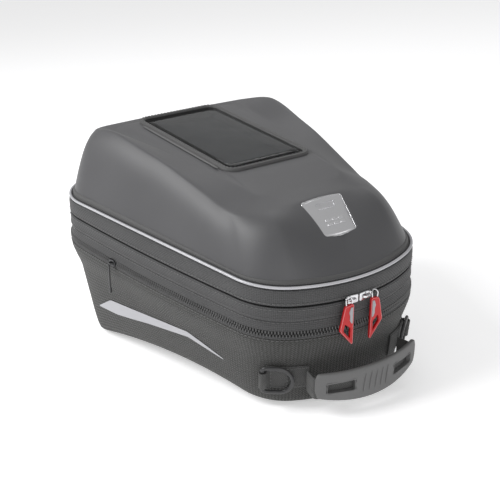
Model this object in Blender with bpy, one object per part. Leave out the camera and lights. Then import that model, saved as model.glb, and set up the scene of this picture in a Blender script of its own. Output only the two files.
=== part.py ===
# Motorcycle tank bag: fabric tub with a quick-release socket underneath, an
# expansion section, and a moulded dome lid with a clear phone pocket.
#
# Nearly everything is laid out in the rim frame: x across, y towards the
# windscreen, w up from the plane of the piping. An empty tips that frame so
# that the bag stands on the ground as it does when it is off the bike.

import math

import bmesh
import bpy
from mathutils import Matrix, Vector

MM = 0.001

# Stance
RIM_TILT = math.radians(7.9)
RIM_HEIGHT = 138.0
RIM_SHIFT = -27.36
CLEAR = 0.3

# Plan outline at the piping
FRONT_Y = -141.0
FRONT_RADIUS = 143.0
FRONT_ANGLE = math.radians(25.7)
CORNER_RADIUS = 60.0
SIDE_TAPER = math.radians(10.3)
REAR_CORNER_RADIUS = 50.0
REAR_CROWN_RADIUS = 1500.0
REAR_Y = 201.0
SECTION_STEPS = (5, 5, 6, 5, 2)

# Levels below the piping
LID_BAND_LOW = -15.0
ZIP_LINE = -17.6
ZIP_GAP = 1.2
MID_BAND_TOP = -20.3
MID_BAND_LOW = -31.0
EXPANSION_LINE = -43.2
TUB_TOP = -48.3
SIDE_SWELL = 3.5
EXPANSION_LIFT = 35.0

# Shells
DOME_WALL = 4.5
DOME_BASE = 1.0
DOME_INSET = 5.0
TUB_WALL = 4.0

# Base and quick-release socket
ARCH_HEIGHT = 19.5
ARCH_CENTRE = 26.0
EDGE_RISE = 15.0
EDGE_MIDDLE = 12.0
EDGE_FRONT_REACH = 136.0
EDGE_REAR_REACH = 150.0
SOCKET_RADIUS = 45.0
SOCKET_BORE = 31.0
SOCKET_ROOF = 4.0
SCREW_CIRCLE = 38.0
SCREW_RADIUS = 2.4
SCREW_HEAD = 4.6
LATCH_WIDTH = 16.0
LATCH_HEIGHT = 4.0
LATCH_Z = 6.0
LATCH_REACH = 4.0
LATCH_BACK = 2.0
LATCH_NECK = 5.0
LATCH_STOP_WALL = 4.0

# Phone window
WINDOW_HALF_WIDTH = 48.5
WINDOW_FRONT = -3.4
WINDOW_REAR = 178.0
WINDOW_CORNER = 14.0
FRAME_WIDTH = 5.5
PLATEAU = 59.2
FRAME_TOP = 62.0
POCKET_DEPTH = 11.0

# Badge plate on the nose
BADGE_TOP = Vector((0.0, -75.7, 49.3))
BADGE_LOW = Vector((0.0, -107.6, 26.7))
BADGE_TOP_WIDTH = 43.0
BADGE_LOW_WIDTH = 34.0
BADGE_THICKNESS = 3.0

# Main zip sliders and pulls
MEETING_ANGLE = math.radians(-2.36)
SLIDER_LENGTH = 13.0
SLIDER_SPREAD = 7.0
PULL_SPREAD = 13.3
PULL_STANDOFF = 7.0
SLIDER_HEIGHT = 8.4
PULL_RISE = 5.0
PULL_DROP = 5.3

# Expansion slider on the left side, along the side's own gentle arc
EXPANSION_SLIDER_S = 168.0
EXPANSION_PULL = 31.0

# Side webbing, D-rings and handle
WEBBING_TOP = -79.0
WEBBING_LOW = -102.0
WEBBING_THICKNESS = 1.3
RING_S = -29.0
RING_REACH = 28.0
RING_HEIGHT = 25.0
RING_WIRE = 1.7
RING_STANDOFF = 6.2
HANDLE_CENTRE_Y = -36.3
HANDLE_RADIUS = 127.8
HANDLE_ANGLE = math.radians(26.2)
HANDLE_THICKNESS = 3.6
HANDLE_TOP = -74.3
HANDLE_END_LOW = -97.6
HANDLE_MID_LOW = -106.0
SLOT_IN = math.radians(9.9)
SLOT_OUT = math.radians(21.3)
SLOT_TOP = -84.0
SLOT_LOW = -94.3
ANCHOR = Vector((51.5, -133.5, -91.0))

COLOURS = {
    "moulded_eva": ((0.11, 0.11, 0.115), 0.55, 0.0),
    "ballistic_fabric": ((0.055, 0.055, 0.054), 0.9, 0.0),
    "band_fabric": ((0.07, 0.07, 0.07), 0.85, 0.0),
    "zip_tape": ((0.035, 0.035, 0.036), 0.8, 0.0),
    "zip_coil": ((0.02, 0.02, 0.02), 0.45, 0.0),
    "reflective_piping": ((0.68, 0.68, 0.7), 0.4, 0.0),
    "decal": ((0.72, 0.72, 0.74), 0.35, 0.0),
    "webbing": ((0.05, 0.05, 0.05), 0.85, 0.0),
    "handle_rubber": ((0.09, 0.09, 0.09), 0.6, 0.0),
    "ring_plastic": ((0.06, 0.06, 0.06), 0.4, 0.0),
    "slider_metal": ((0.7, 0.7, 0.7), 0.25, 1.0),
    "pull_rubber": ((0.62, 0.03, 0.03), 0.45, 0.0),
    "pull_inlay": ((0.55, 0.55, 0.55), 0.5, 0.0),
    "badge_metal": ((0.75, 0.75, 0.76), 0.3, 1.0),
    "window_frame": ((0.06, 0.06, 0.06), 0.7, 0.0),
    "window_film": ((0.75, 0.78, 0.8), 0.08, 0.0),
    "pocket_liner": ((0.03, 0.03, 0.03), 0.9, 0.0),
    "socket_plastic": ((0.05, 0.05, 0.05), 0.5, 0.0),
    "steel": ((0.6, 0.6, 0.6), 0.35, 1.0),
}


# ---------------------------------------------------------------- scene setup

for leftover in list(bpy.data.objects):
    bpy.data.objects.remove(leftover)


def empty(name, parent=None, location=(0, 0, 0), matrix=None):
    item = bpy.data.objects.new(name, None)
    bpy.context.scene.collection.objects.link(item)
    item.parent = parent
    if matrix is not None:
        item.matrix_local = matrix
    else:
        item.location = Vector(location) * MM
    return item


def material(slot):
    found = bpy.data.materials.get(slot)
    if found:
        return found
    colour, rough, metal = COLOURS[slot]
    made = bpy.data.materials.new(slot)
    made.use_nodes = True
    shader = made.node_tree.nodes["Principled BSDF"]
    shader.inputs["Base Color"].default_value = (*colour, 1.0)
    shader.inputs["Roughness"].default_value = rough
    shader.inputs["Metallic"].default_value = metal
    made.diffuse_color = (*colour, 1.0)
    return made


def add_object(name, mesh_data, slot, parent, smooth_angle=40.0):
    # mesh_data is a bmesh in millimetres, in the frame of its parent
    bmesh.ops.recalc_face_normals(mesh_data, faces=mesh_data.faces)
    bmesh.ops.scale(mesh_data, vec=(MM, MM, MM), verts=mesh_data.verts)
    mesh = bpy.data.meshes.new(name)
    mesh_data.to_mesh(mesh)
    mesh_data.free()
    mesh.shade_smooth()
    mesh.set_sharp_from_angle(angle=math.radians(smooth_angle))
    item = bpy.data.objects.new(name, mesh)
    bpy.context.scene.collection.objects.link(item)
    item.parent = parent
    if slot:
        mesh.materials.append(material(slot))
    return item


def as_cutter(item):
    item.hide_render = True
    item.display_type = "WIRE"
    return item


def cut(item, cutter):
    step = item.modifiers.new("cut_" + cutter.name, "BOOLEAN")
    step.operation = "DIFFERENCE"
    step.object = cutter


# ------------------------------------------------------------- plan outlines

def side_direction(taper):
    return Vector((math.sin(taper), math.cos(taper)))


def arc_normal(angle):
    # 0 looks to the front, 90 degrees to the right, 180 to the rear
    return Vector((math.sin(angle), -math.cos(angle)))


class Outline:
    # Right half of a plan outline: front arc, corner, straight side, rear
    # corner and crown, each tangent to the next.

    def __init__(self, front_y, front_radius, front_angle, corner_radius, taper,
                 rear_corner_radius, crown_radius, rear_y):
        self.front_centre = Vector((0.0, front_y + front_radius))
        self.front_radius = front_radius
        self.front_angle = front_angle
        self.corner_radius = corner_radius
        self.side_angle = math.pi / 2 - taper
        along = side_direction(taper)
        self.corner_centre = (self.front_centre
                              + arc_normal(front_angle) * (front_radius - corner_radius))
        self.side_start = self.corner_centre + arc_normal(self.side_angle) * corner_radius
        self.rear_radius = rear_corner_radius
        self.crown_radius = crown_radius
        length = rear_y - self.side_start.y
        for _ in range(20):
            end = self.side_start + along * length
            centre = end - arc_normal(self.side_angle) * rear_corner_radius
            lean = math.asin(centre.x / (crown_radius - rear_corner_radius))
            reach = (crown_radius
                     + centre.y - (crown_radius - rear_corner_radius) * math.cos(lean))
            length += (rear_y - reach) / along.y
        self.along = along
        self.side_length = length
        self.rear_centre = centre
        self.crown_angle = math.pi - lean
        self.crown_centre = Vector((0.0, rear_y - crown_radius))

    def section(self, number, share):
        # Point and outward normal a share of the way along one section
        if number == 0:
            angle = self.front_angle * share
            centre, radius = self.front_centre, self.front_radius
        elif number == 1:
            angle = self.front_angle + (self.side_angle - self.front_angle) * share
            centre, radius = self.corner_centre, self.corner_radius
        elif number == 2:
            point = self.side_start + self.along * (self.side_length * share)
            return point, arc_normal(self.side_angle)
        elif number == 3:
            angle = self.side_angle + (self.crown_angle - self.side_angle) * share
            centre, radius = self.rear_centre, self.rear_radius
        else:
            angle = self.crown_angle + (math.pi - self.crown_angle) * share
            centre, radius = self.crown_centre, self.crown_radius
        return centre + arc_normal(angle) * radius, arc_normal(angle)

    def at(self, s):
        # Point and normal a distance s past the start of the straight side;
        # negative distances run back round the corner to the front arc
        if s >= 0:
            return self.side_start + self.along * s, arc_normal(self.side_angle)
        angle = self.side_angle + s / self.corner_radius
        if angle >= self.front_angle:
            return self.corner_centre + arc_normal(angle) * self.corner_radius, arc_normal(angle)
        angle = self.front_angle + ((angle - self.front_angle)
                                    * self.corner_radius / self.front_radius)
        return self.front_centre + arc_normal(angle) * self.front_radius, arc_normal(angle)


RIM = Outline(FRONT_Y, FRONT_RADIUS, FRONT_ANGLE, CORNER_RADIUS, SIDE_TAPER,
              REAR_CORNER_RADIUS, REAR_CROWN_RADIUS, REAR_Y)


def half_stations():
    # (section, share) pairs from the middle of the front to the middle of the rear
    stations = []
    for number, steps in enumerate(SECTION_STEPS):
        for step in range(steps):
            stations.append((number, step / steps))
    stations.append((len(SECTION_STEPS) - 1, 1.0))
    return stations


STATIONS = half_stations()


def side_bow(share):
    # The straight sides bow out a little between the corners
    return 1.0 - (2.0 * share - 1.0) ** 2


def blend(points, value):
    # Straight-line reading of a short list of (value, result) pairs
    if value <= points[0][0]:
        return points[0][1]
    for (low, first), (high, second) in zip(points, points[1:]):
        if value <= high:
            return first + (second - first) * (value - low) / (high - low)
    return points[-1][1]


SWELL_BY_LEVEL = ((-85.0, 0.0), (-48.0, 1.0), (-16.0, 0.85), (0.0, 0.0))


def swell(w):
    return SIDE_SWELL * blend(SWELL_BY_LEVEL, w)


def full_loop(half):
    # Mirrors a half loop of (x, y, w) points into a whole one
    left = [Vector((-p.x, p.y, p.z)) for p in half[-2:0:-1]]
    return half + left


def ring(inset, w):
    half = []
    for number, share in STATIONS:
        point, normal = RIM.section(number, share)
        bow = swell(w) * side_bow(share) if number == 2 else 0.0
        point = point - normal * (inset - bow)
        half.append(Vector((point.x, point.y, w)))
    return full_loop(half)


# ------------------------------------------------------------ mesh builders

def skin(mesh_data, rings, closed_rows=False):
    # Quads between neighbouring rings; returns the rings' vertices
    rows = [[mesh_data.verts.new(point) for point in row] for row in rings]
    pairs = list(zip(rows, rows[1:]))
    if closed_rows:
        pairs.append((rows[-1], rows[0]))
    for low, high in pairs:
        count = len(low)
        for i in range(count):
            j = (i + 1) % count
            mesh_data.faces.new((low[i], low[j], high[j], high[i]))
    return rows


def fan(mesh_data, row, centre):
    hub = mesh_data.verts.new(centre)
    for i, vertex in enumerate(row):
        mesh_data.faces.new((vertex, row[(i + 1) % len(row)], hub))


def swept_band(name, profile, slot, parent):
    # A closed profile of (inset, w) points carried right round the rim
    mesh_data = bmesh.new()
    skin(mesh_data, [ring(inset, w) for inset, w in profile], closed_rows=True)
    return add_object(name, mesh_data, slot, parent)


def prism(name, outline, low, high, slot, parent, bevel=0.0):
    # A flat outline of (x, y) points between two heights
    mesh_data = bmesh.new()
    base = [mesh_data.verts.new((x, y, low)) for x, y in outline]
    bottom = mesh_data.faces.new(base)
    lifted = bmesh.ops.extrude_face_region(mesh_data, geom=[bottom])
    top = [item for item in lifted["geom"] if isinstance(item, bmesh.types.BMVert)]
    bmesh.ops.translate(mesh_data, vec=(0, 0, high - low), verts=top)
    if bevel:
        edges = [edge for edge in mesh_data.edges
                 if abs(edge.verts[0].co.z - high) < 1e-6 and abs(edge.verts[1].co.z - high) < 1e-6]
        bmesh.ops.bevel(mesh_data, geom=edges, offset=bevel, segments=1, affect="EDGES")
    return add_object(name, mesh_data, slot, parent)


def box(name, low, high, slot, parent, bevel=0.0):
    mesh_data = bmesh.new()
    size = [b - a for a, b in zip(low, high)]
    middle = [(a + b) / 2 for a, b in zip(low, high)]
    place = Matrix.Translation(middle) @ Matrix.Diagonal((*size, 1.0))
    bmesh.ops.create_cube(mesh_data, size=1.0, matrix=place)
    if bevel:
        bmesh.ops.bevel(mesh_data, geom=mesh_data.edges[:], offset=bevel, segments=1,
                        affect="EDGES")
    return add_object(name, mesh_data, slot, parent)


def rounded_rectangle(half_width, low, high, radius, steps=5):
    points = []
    corners = ((1, low, -90), (1, high, 0), (-1, high, 90), (-1, low, 180))
    for sign, edge, start in corners:
        centre_x = sign * (half_width - radius)
        centre_y = edge + radius if edge == low else edge - radius
        for step in range(steps + 1):
            angle = math.radians(start + 90.0 * step / steps)
            points.append((centre_x + radius * math.cos(angle),
                           centre_y + radius * math.sin(angle)))
    return points


def circle(radius, steps, centre=(0.0, 0.0)):
    turn = 2 * math.pi / steps
    return [(centre[0] + radius * math.cos(i * turn), centre[1] + radius * math.sin(i * turn))
            for i in range(steps)]


def tube(name, path, radius, slot, parent, sides=8, closed=False):
    # A round bar along a path of points
    curve = bpy.data.curves.new(name, "CURVE")
    curve.dimensions = "3D"
    curve.bevel_depth = radius * MM
    curve.bevel_resolution = max(0, sides // 2 - 2)
    curve.use_fill_caps = not closed
    spline = curve.splines.new("POLY")
    spline.points.add(len(path) - 1)
    for point, place in zip(spline.points, path):
        point.co = (*(Vector(place) * MM), 1.0)
    spline.use_cyclic_u = closed
    curve.materials.append(material(slot))
    item = bpy.data.objects.new(name, curve)
    bpy.context.scene.collection.objects.link(item)
    item.parent = parent
    return item


# ------------------------------------------------------------- the tub's shape

def ground_level(y):
    # Level of the ground under a point of the rim frame
    return -(RIM_HEIGHT + y * math.sin(RIM_TILT)) / math.cos(RIM_TILT)


def world_y(y, w):
    # Where a point of the rim frame is, front to rear, once the frame is tipped
    return y * math.cos(RIM_TILT) - w * math.sin(RIM_TILT) + RIM_SHIFT


def edge_level(y):
    # The base's edge arches gently off the ground to straddle the tank
    reach = EDGE_FRONT_REACH if y < EDGE_MIDDLE else EDGE_REAR_REACH
    gone = min(abs(y - EDGE_MIDDLE) / reach, 1.0)
    return ground_level(y) + EDGE_RISE * (1.0 - gone * gone) / math.cos(RIM_TILT)


def socket_level(y):
    # The flat in the middle of the base that the socket is bolted to
    return ground_level(y) + ARCH_HEIGHT / math.cos(RIM_TILT)


def wall_inset(y, w):
    # Upright under the expansion zip, then drawn in towards the base, more so
    # at the rear than at the front
    slope = blend(((-90.0, 0.08), (150.0, 0.165)), y)
    upper = blend(((-75.0, 4.6), (-62.0, 1.6), (-52.0, -0.9), (-48.0, -0.6)), w)
    return upper + slope * max(0.0, -62.0 - w)


def wall_point(s, w, offset, side=1):
    # A point on the tub's outer wall, a distance offset proud of it
    point, normal = RIM.at(s)
    share = s / RIM.side_length
    bow = swell(w) * side_bow(share) if 0.0 < share < 1.0 else 0.0
    point = point - normal * (wall_inset(point.y, w) - bow - offset)
    return Vector((side * point.x, point.y, w))


def tub_ring(share, extra_inset=0.0, rise=0.0):
    # share runs from 0 at the tub's top edge to 1 at its base edge
    half = []
    for number, position in STATIONS:
        point, normal = RIM.section(number, position)
        base = edge_level(point.y - 12.0 * normal.y) + rise
        w = TUB_TOP + (base - TUB_TOP) * share
        inset = wall_inset(point.y, w) + extra_inset
        bow = swell(w) * side_bow(position) if number == 2 else 0.0
        place = point - normal * (inset - bow)
        if share == 1.0:
            w = edge_level(place.y) + rise
        half.append(Vector((place.x, place.y, w)))
    return full_loop(half)


def base_ring(source, share):
    # From the base edge towards a round flat where the socket is bolted on
    centre = Vector((0.0, ARCH_CENTRE))
    rise = share * share * (3.0 - 2.0 * share)
    points = []
    for place in source:
        edge = Vector((place.x, place.y))
        flat = centre + (edge - centre).normalized() * (SOCKET_RADIUS + 5.0)
        point = edge.lerp(flat, share)
        low, high = edge_level(point.y), socket_level(point.y)
        points.append(Vector((point.x, point.y, low + (high - low) * rise)))
    return points


def build_tub(parent, screw_holes):
    edge = tub_ring(1.0, extra_inset=9.0)
    rings = [tub_ring(0.0), tub_ring(0.05), tub_ring(0.14), tub_ring(0.28), tub_ring(0.5),
             tub_ring(0.72), tub_ring(0.90, 0.6), tub_ring(1.0, 3.0, rise=2.6), edge]
    rings += [base_ring(edge, share) for share in (0.3, 0.65, 1.0)]
    mesh_data = bmesh.new()
    rows = skin(mesh_data, rings)
    fan(mesh_data, rows[-1], (0.0, ARCH_CENTRE, socket_level(ARCH_CENTRE)))
    tub = add_object("tub_shell", mesh_data, "ballistic_fabric", parent)
    wall = tub.modifiers.new("wall", "SOLIDIFY")
    wall.thickness = TUB_WALL * MM
    wall.offset = -1.0
    wall.use_even_offset = True
    cut(tub, screw_holes)


# ------------------------------------------------------------ the dome's shape

SHOULDER = Outline(-75.0, 300.0, math.radians(9.4), 30.0, math.radians(7.1),
                   22.0, 700.0, 184.0)
VALLEY = Outline(-52.0, 600.0, math.radians(3.6), 12.0, math.radians(8.0),
                 12.0, 900.0, 176.0)
PLATEAU_EDGE = Outline(-14.0, 600.0, math.radians(3.4), 12.0, math.radians(5.0),
                       12.0, 900.0, 172.0)

SHOULDER_HEIGHT = ((-75.0, 51.0), (-70.0, 47.5), (-45.0, 43.5), (-13.0, 49.5), (16.0, 55.8),
                   (47.0, 62.0), (81.0, 66.0), (119.0, 70.5), (140.0, 70.0), (162.0, 65.0),
                   (176.0, 61.0), (184.0, 59.2))
VALLEY_HEIGHT = ((-52.0, 53.5), (0.0, 58.0), (50.0, 58.9), (130.0, 57.3), (155.0, 56.8),
                 (176.0, 58.8))
FULLNESS = ((0.06, 0.28), (0.28, 0.12), (0.12, 0.22), (0.22, 0.18), (0.18, 0.18))


def top_loop(outline, heights):
    half = []
    for number, share in STATIONS:
        point, _ = outline.section(number, share)
        w = heights if isinstance(heights, float) else blend(heights, point.y)
        half.append(Vector((point.x, point.y, w)))
    return full_loop(half)


def fullness_loop():
    # How much the wall bulges between its foot and the shoulder, all round
    half = []
    for number, share in STATIONS:
        if number == 0:
            start, end = FULLNESS[0]
        else:
            start, end = FULLNESS[number]
        half.append(start + (end - start) * share)
    return half + half[-2:0:-1]


def build_dome(parent, window_hole, badge_seat):
    foot = ring(DOME_INSET, DOME_BASE)
    shoulder = top_loop(SHOULDER, SHOULDER_HEIGHT)
    valley = top_loop(VALLEY, VALLEY_HEIGHT)
    plateau = top_loop(PLATEAU_EDGE, PLATEAU)
    bulge = fullness_loop()
    rings = [ring(DOME_INSET, DOME_BASE - 5.0), foot]
    for share in (0.14, 0.34, 0.56, 0.78, 0.93):
        row = []
        for low, high, full in zip(foot, shoulder, bulge):
            point = low.lerp(high, share)
            height = share + full * math.sin(math.pi * share)
            point.z = low.z + (high.z - low.z) * height
            row.append(point)
        rings.append(row)
    crown = [a.lerp(b, 0.12) for a, b in zip(shoulder, valley)]
    rings += [crown, [a.lerp(b, 0.6) for a, b in zip(shoulder, valley)], valley, plateau]
    centre = Vector((0.0, 80.0, PLATEAU))
    rings.append([centre.lerp(point, 0.5) for point in plateau])
    mesh_data = bmesh.new()
    rows = skin(mesh_data, rings)
    fan(mesh_data, rows[-1], centre)
    dome = add_object("dome_shell", mesh_data, "moulded_eva", parent)
    wall = dome.modifiers.new("wall", "SOLIDIFY")
    wall.thickness = DOME_WALL * MM
    wall.offset = -1.0
    wall.use_even_offset = True
    trim = box("dome_foot_trim", (-200.0, -200.0, -40.0), (200.0, 260.0, DOME_BASE), None, parent)
    cut(dome, as_cutter(trim))
    cut(dome, window_hole)
    cut(dome, badge_seat)


# ---------------------------------------------------------- bands and zip halves

def build_lid_bands(parent):
    swept_band("lid_band",
               ((0.3, LID_BAND_LOW), (0.0, -8.0), (0.3, -1.9), (3.8, -1.9), (3.8, 2.2),
                (4.7, 2.2), (4.7, DOME_BASE - CLEAR), (10.0, DOME_BASE - CLEAR), (10.0, -1.5),
                (3.3, -4.5), (3.3, LID_BAND_LOW)),
               "band_fabric", parent)
    bead = circle(1.7, 6, (1.7, 0.3))
    swept_band("piping", bead, "reflective_piping", parent)
    half_gap = ZIP_GAP / 2
    swept_band("main_zip_tape_upper",
               ((0.5, ZIP_LINE + half_gap), (0.5, LID_BAND_LOW - CLEAR),
                (1.7, LID_BAND_LOW - CLEAR), (1.7, ZIP_LINE + half_gap)),
               "zip_tape", parent)
    swept_band("main_zip_coil_upper",
               ((2.0, ZIP_LINE + half_gap), (2.0, ZIP_LINE + half_gap + 1.6),
                (3.6, ZIP_LINE + half_gap + 1.6), (3.6, ZIP_LINE + half_gap)),
               "zip_coil", parent)


def build_middle_bands(parent):
    half_gap = ZIP_GAP / 2
    swept_band("main_zip_tape_lower",
               ((0.5, MID_BAND_TOP + CLEAR), (0.5, ZIP_LINE - half_gap),
                (1.7, ZIP_LINE - half_gap), (1.7, MID_BAND_TOP + CLEAR)),
               "zip_tape", parent)
    swept_band("main_zip_coil_lower",
               ((2.0, ZIP_LINE - half_gap - 1.6), (2.0, ZIP_LINE - half_gap),
                (3.6, ZIP_LINE - half_gap), (3.6, ZIP_LINE - half_gap - 1.6)),
               "zip_coil", parent)
    swept_band("middle_band",
               ((1.9, MID_BAND_LOW), (0.2, MID_BAND_LOW + 3.0), (0.2, MID_BAND_TOP),
                (3.3, MID_BAND_TOP), (3.3, MID_BAND_LOW)),
               "band_fabric", parent)
    swept_band("expansion_tape_upper",
               ((-0.3, EXPANSION_LINE + 2.7), (1.9, MID_BAND_LOW - CLEAR),
                (3.3, MID_BAND_LOW - CLEAR), (1.1, EXPANSION_LINE + 2.7)),
               "zip_tape", parent)
    swept_band("expansion_coil_upper",
               ((-0.7, EXPANSION_LINE + half_gap), (-0.7, EXPANSION_LINE + 2.4),
                (1.1, EXPANSION_LINE + 2.4), (1.1, EXPANSION_LINE + half_gap)),
               "zip_coil", parent)
    sleeve_low = TUB_TOP - EXPANSION_LIFT - 3.0
    swept_band("expansion_gusset",
               ((13.0, sleeve_low), (13.0, MID_BAND_TOP - 6.0), (3.6, MID_BAND_TOP - 6.0),
                (3.6, MID_BAND_TOP - 4.8), (14.2, MID_BAND_TOP - 4.8), (14.2, sleeve_low)),
               "zip_tape", parent)


def build_tub_bands(parent):
    half_gap = ZIP_GAP / 2
    swept_band("expansion_coil_lower",
               ((-0.7, EXPANSION_LINE - 2.4), (-0.7, EXPANSION_LINE - half_gap),
                (1.1, EXPANSION_LINE - half_gap), (1.1, EXPANSION_LINE - 2.4)),
               "zip_coil", parent)
    swept_band("expansion_tape_lower",
               ((-0.5, TUB_TOP + CLEAR), (-0.3, EXPANSION_LINE - 2.7),
                (1.1, EXPANSION_LINE - 2.7), (1.1, TUB_TOP + CLEAR)),
               "zip_tape", parent)


def build_hinge_tapes(lid, middle):
    # A fabric strip across the rear, cut along the fold that the lid turns on
    half_width = 68.0
    inner = REAR_Y + CLEAR
    outer = inner + 1.4
    crown = [(-half_width, outer - 1.2), (0.0, outer + 0.1), (half_width, outer - 1.2)]
    strip = [(-half_width, inner + 0.4), (half_width, inner + 0.4)]
    plan = strip + [(x, y + 0.6) for x, y in reversed(crown)]
    prism("hinge_tape_upper", plan, ZIP_LINE + CLEAR, ZIP_LINE + 9.0, "band_fabric", lid)
    prism("hinge_tape_lower", plan, ZIP_LINE - 9.0, ZIP_LINE - CLEAR, "band_fabric", middle)


# --------------------------------------------------------------- window, badge

def build_window(parent):
    outer = rounded_rectangle(WINDOW_HALF_WIDTH, WINDOW_FRONT, WINDOW_REAR, WINDOW_CORNER)
    inside_half = WINDOW_HALF_WIDTH - FRAME_WIDTH
    inner = rounded_rectangle(inside_half, WINDOW_FRONT + FRAME_WIDTH,
                              WINDOW_REAR - FRAME_WIDTH, WINDOW_CORNER - FRAME_WIDTH)
    mesh_data = bmesh.new()
    low = PLATEAU + CLEAR
    loops = [[Vector((x, y, low)) for x, y in outer],
             [Vector((x * 0.99, y, FRAME_TOP)) for x, y in outer],
             [Vector((x, y, FRAME_TOP)) for x, y in inner],
             [Vector((x, y, low)) for x, y in inner]]
    skin(mesh_data, loops, closed_rows=True)
    add_object("window_frame", mesh_data, "window_frame", parent)

    film = rounded_rectangle(inside_half - CLEAR, WINDOW_FRONT + FRAME_WIDTH + CLEAR,
                             WINDOW_REAR - FRAME_WIDTH - CLEAR, WINDOW_CORNER - FRAME_WIDTH)
    prism("window_film", film, PLATEAU + 1.2, PLATEAU + 2.0, "window_film", parent)

    tray_half = inside_half
    tray_plan = rounded_rectangle(tray_half, WINDOW_FRONT + FRAME_WIDTH,
                                  WINDOW_REAR - FRAME_WIDTH, WINDOW_CORNER - FRAME_WIDTH)
    well_plan = rounded_rectangle(tray_half - 1.2, WINDOW_FRONT + FRAME_WIDTH + 1.2,
                                  WINDOW_REAR - FRAME_WIDTH - 1.2,
                                  WINDOW_CORNER - FRAME_WIDTH - 1.0)
    floor = PLATEAU - POCKET_DEPTH
    mesh_data = bmesh.new()
    rows = skin(mesh_data, [[Vector((x, y, floor)) for x, y in tray_plan],
                            [Vector((x, y, PLATEAU)) for x, y in tray_plan],
                            [Vector((x, y, PLATEAU)) for x, y in well_plan],
                            [Vector((x, y, floor + 1.2)) for x, y in well_plan]])
    mesh_data.faces.new(rows[0])
    mesh_data.faces.new(rows[-1])
    add_object("phone_pocket", mesh_data, "pocket_liner", parent)

    hole = rounded_rectangle(tray_half + CLEAR, WINDOW_FRONT + FRAME_WIDTH - CLEAR,
                             WINDOW_REAR - FRAME_WIDTH + CLEAR,
                             WINDOW_CORNER - FRAME_WIDTH + CLEAR)
    return as_cutter(prism("window_hole", hole, PLATEAU - 14.0, PLATEAU + 6.0, None, parent))


def badge_matrix():
    up = (BADGE_TOP - BADGE_LOW).normalized()
    across = Vector((1.0, 0.0, 0.0))
    out = across.cross(up).normalized()
    turn = Matrix((across, up, out)).transposed().to_4x4()
    middle = (BADGE_TOP + BADGE_LOW) / 2
    return Matrix.Translation(middle * MM) @ turn


def badge_plan(grow):
    half_length = (BADGE_TOP - BADGE_LOW).length / 2 + grow
    top = BADGE_TOP_WIDTH / 2 + grow
    low = BADGE_LOW_WIDTH / 2 + grow
    nick = 3.0
    return [(-low + nick, -half_length), (low - nick, -half_length), (low, -half_length + nick),
            (top, half_length - nick), (top - nick, half_length),
            (-top + nick, half_length), (-top, half_length - nick), (-low, -half_length + nick)]


def build_badge(parent):
    place = empty("badge_place", parent, matrix=badge_matrix())
    plate = prism("badge_plate", badge_plan(0.0), -0.8, BADGE_THICKNESS - 0.8, "badge_metal",
                  place, bevel=0.9)
    slot_y = (BADGE_TOP - BADGE_LOW).length / 2 - 6.5
    recess = box("badge_recess", (-8.0, slot_y - 1.5, 1.2), (8.0, slot_y + 1.5, 5.0), None, place)
    cut(plate, as_cutter(recess))
    return as_cutter(prism("badge_seat", badge_plan(CLEAR), -0.8 - CLEAR, 12.0, None, place))


# --------------------------------------------------------------- zip sliders

def slider_body(name, slot, parent, length, height, gap_inner, post=0.6):
    # The slider stands at its parent's origin: x along the zip, y outward, z up.
    # An outer plate, a thin post through the gap in the zip, and an inner plate.
    plates = (((-length / 2, 0.5, -height / 2), (length / 2, 2.2, height / 2)),
              ((-length / 2 + 1, -gap_inner - 1.4, -height / 2 + 1),
               (length / 2 - 1, -gap_inner, height / 2 - 1)))
    body = box(name, plates[0][0], plates[0][1], slot, parent)
    parts = [box(name + "_inner", plates[1][0], plates[1][1], None, parent),
             box(name + "_post", (-length / 2 + 2.5, -gap_inner - 0.7, -post / 2),
                 (length / 2 - 2.5, 1.2, post / 2), None, parent),
             box(name + "_lug", (-2.2, 1.6, -1.3), (2.2, 4.2, 1.3), None, parent)]
    for part in parts:
        join = body.modifiers.new("join_" + part.name, "BOOLEAN")
        join.operation = "UNION"
        join.object = as_cutter(part)
    return body


def turned(parent, name, location, tangent, outward):
    # An empty whose x runs along tangent and y along outward
    along = Vector(tangent).normalized()
    out = Vector(outward).normalized()
    up = along.cross(out)
    turn = Matrix((along, out, up)).transposed().to_4x4()
    return empty(name, parent, matrix=Matrix.Translation(Vector(location) * MM) @ turn)


PULL_OUTLINE = ((-4.2, 0.0), (4.2, -1.5), (9.0, -24.5), (-4.5, -41.0))
PULL_HOLE = ((3.9, -18.7), (-1.8, -23.8), (-1.4, -33.6), (5.2, -25.3))
INLAY_OUTLINE = ((-3.4, -3.0), (-1.2, -3.2), (0.4, -8.0), (-0.6, -11.0), (-0.6, -16.0),
                 (-2.4, -19.0), (-3.4, -19.0))


def upright_prism(name, outline, low, high, slot, parent):
    # Like prism, but the outline lies in x and z and the thickness runs along y
    item = prism(name, outline, -high, -low, slot, None)
    turn = Matrix.Rotation(math.radians(90.0), 4, "X")
    item.data.transform(turn)
    item.parent = parent
    return item


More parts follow.
